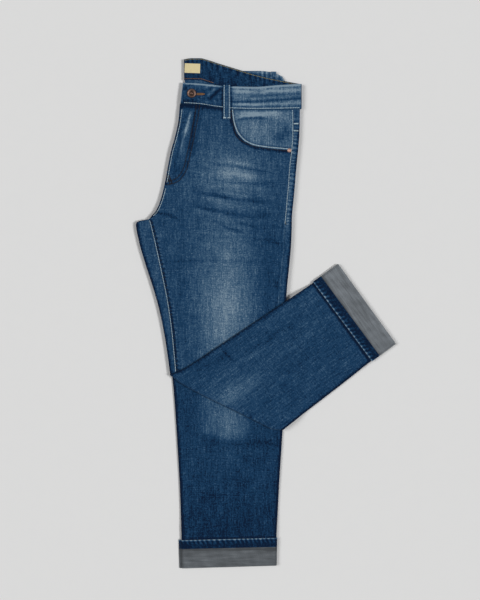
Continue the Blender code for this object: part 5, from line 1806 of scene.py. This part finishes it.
class JEANS_OT_stitching(bpy.types.Operator):
    """Sews the topstitching, the fly, the pocket, the bar tacks and the buttonhole"""
    bl_idname = "jeans.stitching"
    bl_label = "Stitching"

    def execute(self, context):
        sewing, colours = settings().stitching, settings().colours
        pitch, length, width = sewing.pitch, sewing.length, sewing.width
        light, tobacco, orange, gold = (thread(name, tuple(getattr(colours, name))) for name in (
            "light_thread", "tobacco_thread", "orange_thread", "gold_thread"))
        navy = thread("navy_thread", [0.35 * c for c in colours.navy])

        mouth = along([(point.x - 1.6, point.y - 1.0) for point in POCKET_MOUTH[1:-1]] + [(45.0, 312.0)])
        light_paths = [seam_path("inseam", 175.0, -108.0, SEAM_STITCH),
                       seam_path("outseam", 385.0, 172.0, -OUTSEAM_STITCH),
                       seam_path("inseam", 386.0, 250.0, CENTRE_STITCH),
                       seam_path("inseam", 236.0, 186.0, CENTRE_STITCH), on_thigh(*mouth)]
        band_x = np.linspace(-154.0, 62.0, 150)
        light_paths.append(on_front_band(band_x, FRONT_BAND_CURVES["lower"](band_x) + 2.0))
        loop_y = np.linspace(FRONT_LOOP.bottom + 2.0, FRONT_LOOP.top - 1.5, 50)
        for share in (0.16, 0.84):
            loop_x = blend(FRONT_LOOP.left, FRONT_LOOP.right, share)
            light_paths.append(stacked(loop_x, loop_y, loop_heights(loop_y) + LOOP_THICKNESS - 0.05))
        sew("light_topstitching", light_paths, light, pitch, length, width)

        fly = along(FLY_STITCH)
        brown_paths = [on_thigh(*fly), on_thigh(*beside(*fly, -FLY_ROWS_APART)), on_thigh(*along(POCKET_HEM))]
        sew("tobacco_stitching", brown_paths, tobacco, pitch, length, width * 1.5)
        sew("navy_stitching", [seam_path("inseam", 172.0, -106.0, NAVY_ROW_STITCH)], navy, pitch * 2.6,
            length * 1.25, width * 2.0)

        inner_x, low_x = np.linspace(-153.0, 55.0, 150), np.linspace(-154.0, -101.0, 40)
        sew("gold_stitching", [on_inner_band(inner_x, LEFT_BACK_CURVES["upper"](inner_x) - 1.9)], gold, pitch,
            length, width)
        sew("orange_stitching", [on_inner_band(low_x, LEFT_BACK_CURVES["lower"](low_x) + 2.2)], orange, pitch,
            length, width * 1.2)

        foot_y = FRONT_LOOP.bottom + 2.0
        foot_z = float(loop_heights(foot_y)) + LOOP_THICKNESS - 0.1
        light_tacks = [[(FRONT_LOOP.left + 0.6, foot_y, foot_z), (FRONT_LOOP.right - 0.6, foot_y, foot_z)]]
        light_tacks += [stacked(np.linspace(53.5, 61.5, 6), y, THIGH_TOP + 0.15) for y in (360.5, 347.0)]
        sew("light_tacks", light_tacks, light, TACK_PITCH, 0.0030, TACK_WIDTH, ACROSS)
        dark_tacks = [tack(*ends) for ends in DARK_TACKS]
        sew("tobacco_tacks", dark_tacks, tobacco, TACK_PITCH, 0.0032, TACK_WIDTH, ACROSS)

        hole_x = np.linspace(-131.5, -116.5, 16)
        half = 1.1 * (1 - smoothstep((hole_x + 121.0) / 5.0))
        lips = [on_front_band(hole_x, BUTTONHOLE_Y + side * half, 0.25) for side in (1.0, -1.0)]
        sew("buttonhole", lips, orange, 0.0005, 0.0026, TACK_WIDTH, ACROSS)
        return {"FINISHED"}


# Stage

class JEANS_OT_stage(bpy.types.Operator):
    """Makes the plain floor, the soft studio light and the camera straight above"""
    bl_idname = "jeans.stage"
    bl_label = "Stage"

    def execute(self, context):
        stage = settings().stage
        scene = context.scene
        mesh = bpy.data.meshes.new("floor")
        reach, under = 6.0, -0.0004
        mesh.from_pydata([(-reach, -reach, under), (reach, -reach, under), (reach, reach, under),
                          (-reach, reach, under)], [], [(0, 1, 2, 3)])
        nodes = Nodes("pale_floor")
        grain = nodes.noise(nodes.place(), 40.0)
        hue = nodes.ramp(grain, (0.0, [0.985 * c for c in stage.floor]), (1.0, stage.floor))
        rough = nodes.math("MULTIPLY_ADD", grain, 0.1, 0.85)
        set_inputs(nodes.tree, nodes.tree.nodes["Principled BSDF"],
                   {"Base Color": hue, "Roughness": rough, "Specular IOR Level": 0.1})
        mesh.materials.append(nodes.material)
        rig.stage(add_object("floor", mesh))

        for name, strength, spread, travel in (("soft_key", stage.key, 15, KEY_TRAVEL),
                                               ("soft_second", stage.second, 30, SECOND_TRAVEL)):
            sun = bpy.data.lights.new(name, "SUN")
            sun.energy = strength
            sun.angle = math.radians(spread)
            lamp = add_object(name, sun)
            lamp.rotation_euler = mathutils.Vector(travel).to_track_quat("-Z", "Y").to_euler()

        world = bpy.data.worlds.new("studio")
        world.use_nodes = True
        world.node_tree.nodes["Background"].inputs["Color"].default_value = (1.0, 1.0, 1.0, 1.0)
        world.node_tree.nodes["Background"].inputs["Strength"].default_value = stage.fill
        scene.world = world
        scene.view_settings.view_transform = "Standard"

        lens, sensor = 70.0, 36.0
        data = bpy.data.cameras.new("straight_above")
        data.lens = lens
        data.sensor_width = sensor
        data.clip_end = 100.0
        camera = add_object("straight_above", data)
        camera.location = (*PICTURE_CENTRE, stage.scale * lens / sensor + THIGH_TOP * MM)
        scene.camera = camera
        return {"FINISHED"}


class JEANS_PT_panel(bpy.types.Panel):
    """Lists the pieces of the folded jeans"""
    bl_idname = "JEANS_PT_panel"
    bl_label = "Folded jeans"
    bl_space_type = "VIEW_3D"
    bl_region_type = "UI"
    bl_category = "Jeans"

    def draw(self, context):
        layout = self.layout
        jeans = context.scene.jeans
        for title, group in (("Cloth", jeans.cloth), ("Stitching", jeans.stitching),
                             ("Colours", jeans.colours), ("Stage", jeans.stage)):
            box = layout.box()
            box.label(text=title)
            for key in group.bl_rna.properties.keys():
                if key not in ("rna_type", "name"):
                    box.prop(group, key)
        for operator in PIECES:
            layout.operator(operator.bl_idname)


PIECES = (JEANS_OT_stage, JEANS_OT_left_leg, JEANS_OT_right_leg, JEANS_OT_yokes, JEANS_OT_pocket,
          JEANS_OT_inner_layers, JEANS_OT_cuffs, JEANS_OT_waistbands, JEANS_OT_belt_loops, JEANS_OT_label,
          JEANS_OT_metal, JEANS_OT_stitching)
GROUPS = (JeansCloth, JeansStitching, JeansColours, JeansStage, JeansSettings)


def register():
    for item in GROUPS + PIECES + (JEANS_PT_panel,):
        bpy.utils.register_class(item)
    bpy.types.Scene.jeans = PointerProperty(type=JeansSettings)


def unregister():
    del bpy.types.Scene.jeans
    for item in reversed(GROUPS + PIECES + (JEANS_PT_panel,)):
        bpy.utils.unregister_class(item)


def main():
    register()
    bpy.ops.jeans.stage()
    bpy.ops.jeans.left_leg()
    bpy.ops.jeans.right_leg()
    bpy.ops.jeans.yokes()
    bpy.ops.jeans.pocket()
    bpy.ops.jeans.inner_layers()
    bpy.ops.jeans.cuffs()
    bpy.ops.jeans.waistbands()
    bpy.ops.jeans.belt_loops()
    bpy.ops.jeans.label()
    bpy.ops.jeans.metal()
    bpy.ops.jeans.stitching()
    boxes = {"cad": [[float(value) for value in corner] for corner in CAD_BOX],
             "visual": [[float(value) for value in corner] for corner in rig.bounds()]}
    with open(SIZE_FILE, "w") as file:
        json.dump(boxes, file)


if __name__ == "__main__":
    main()
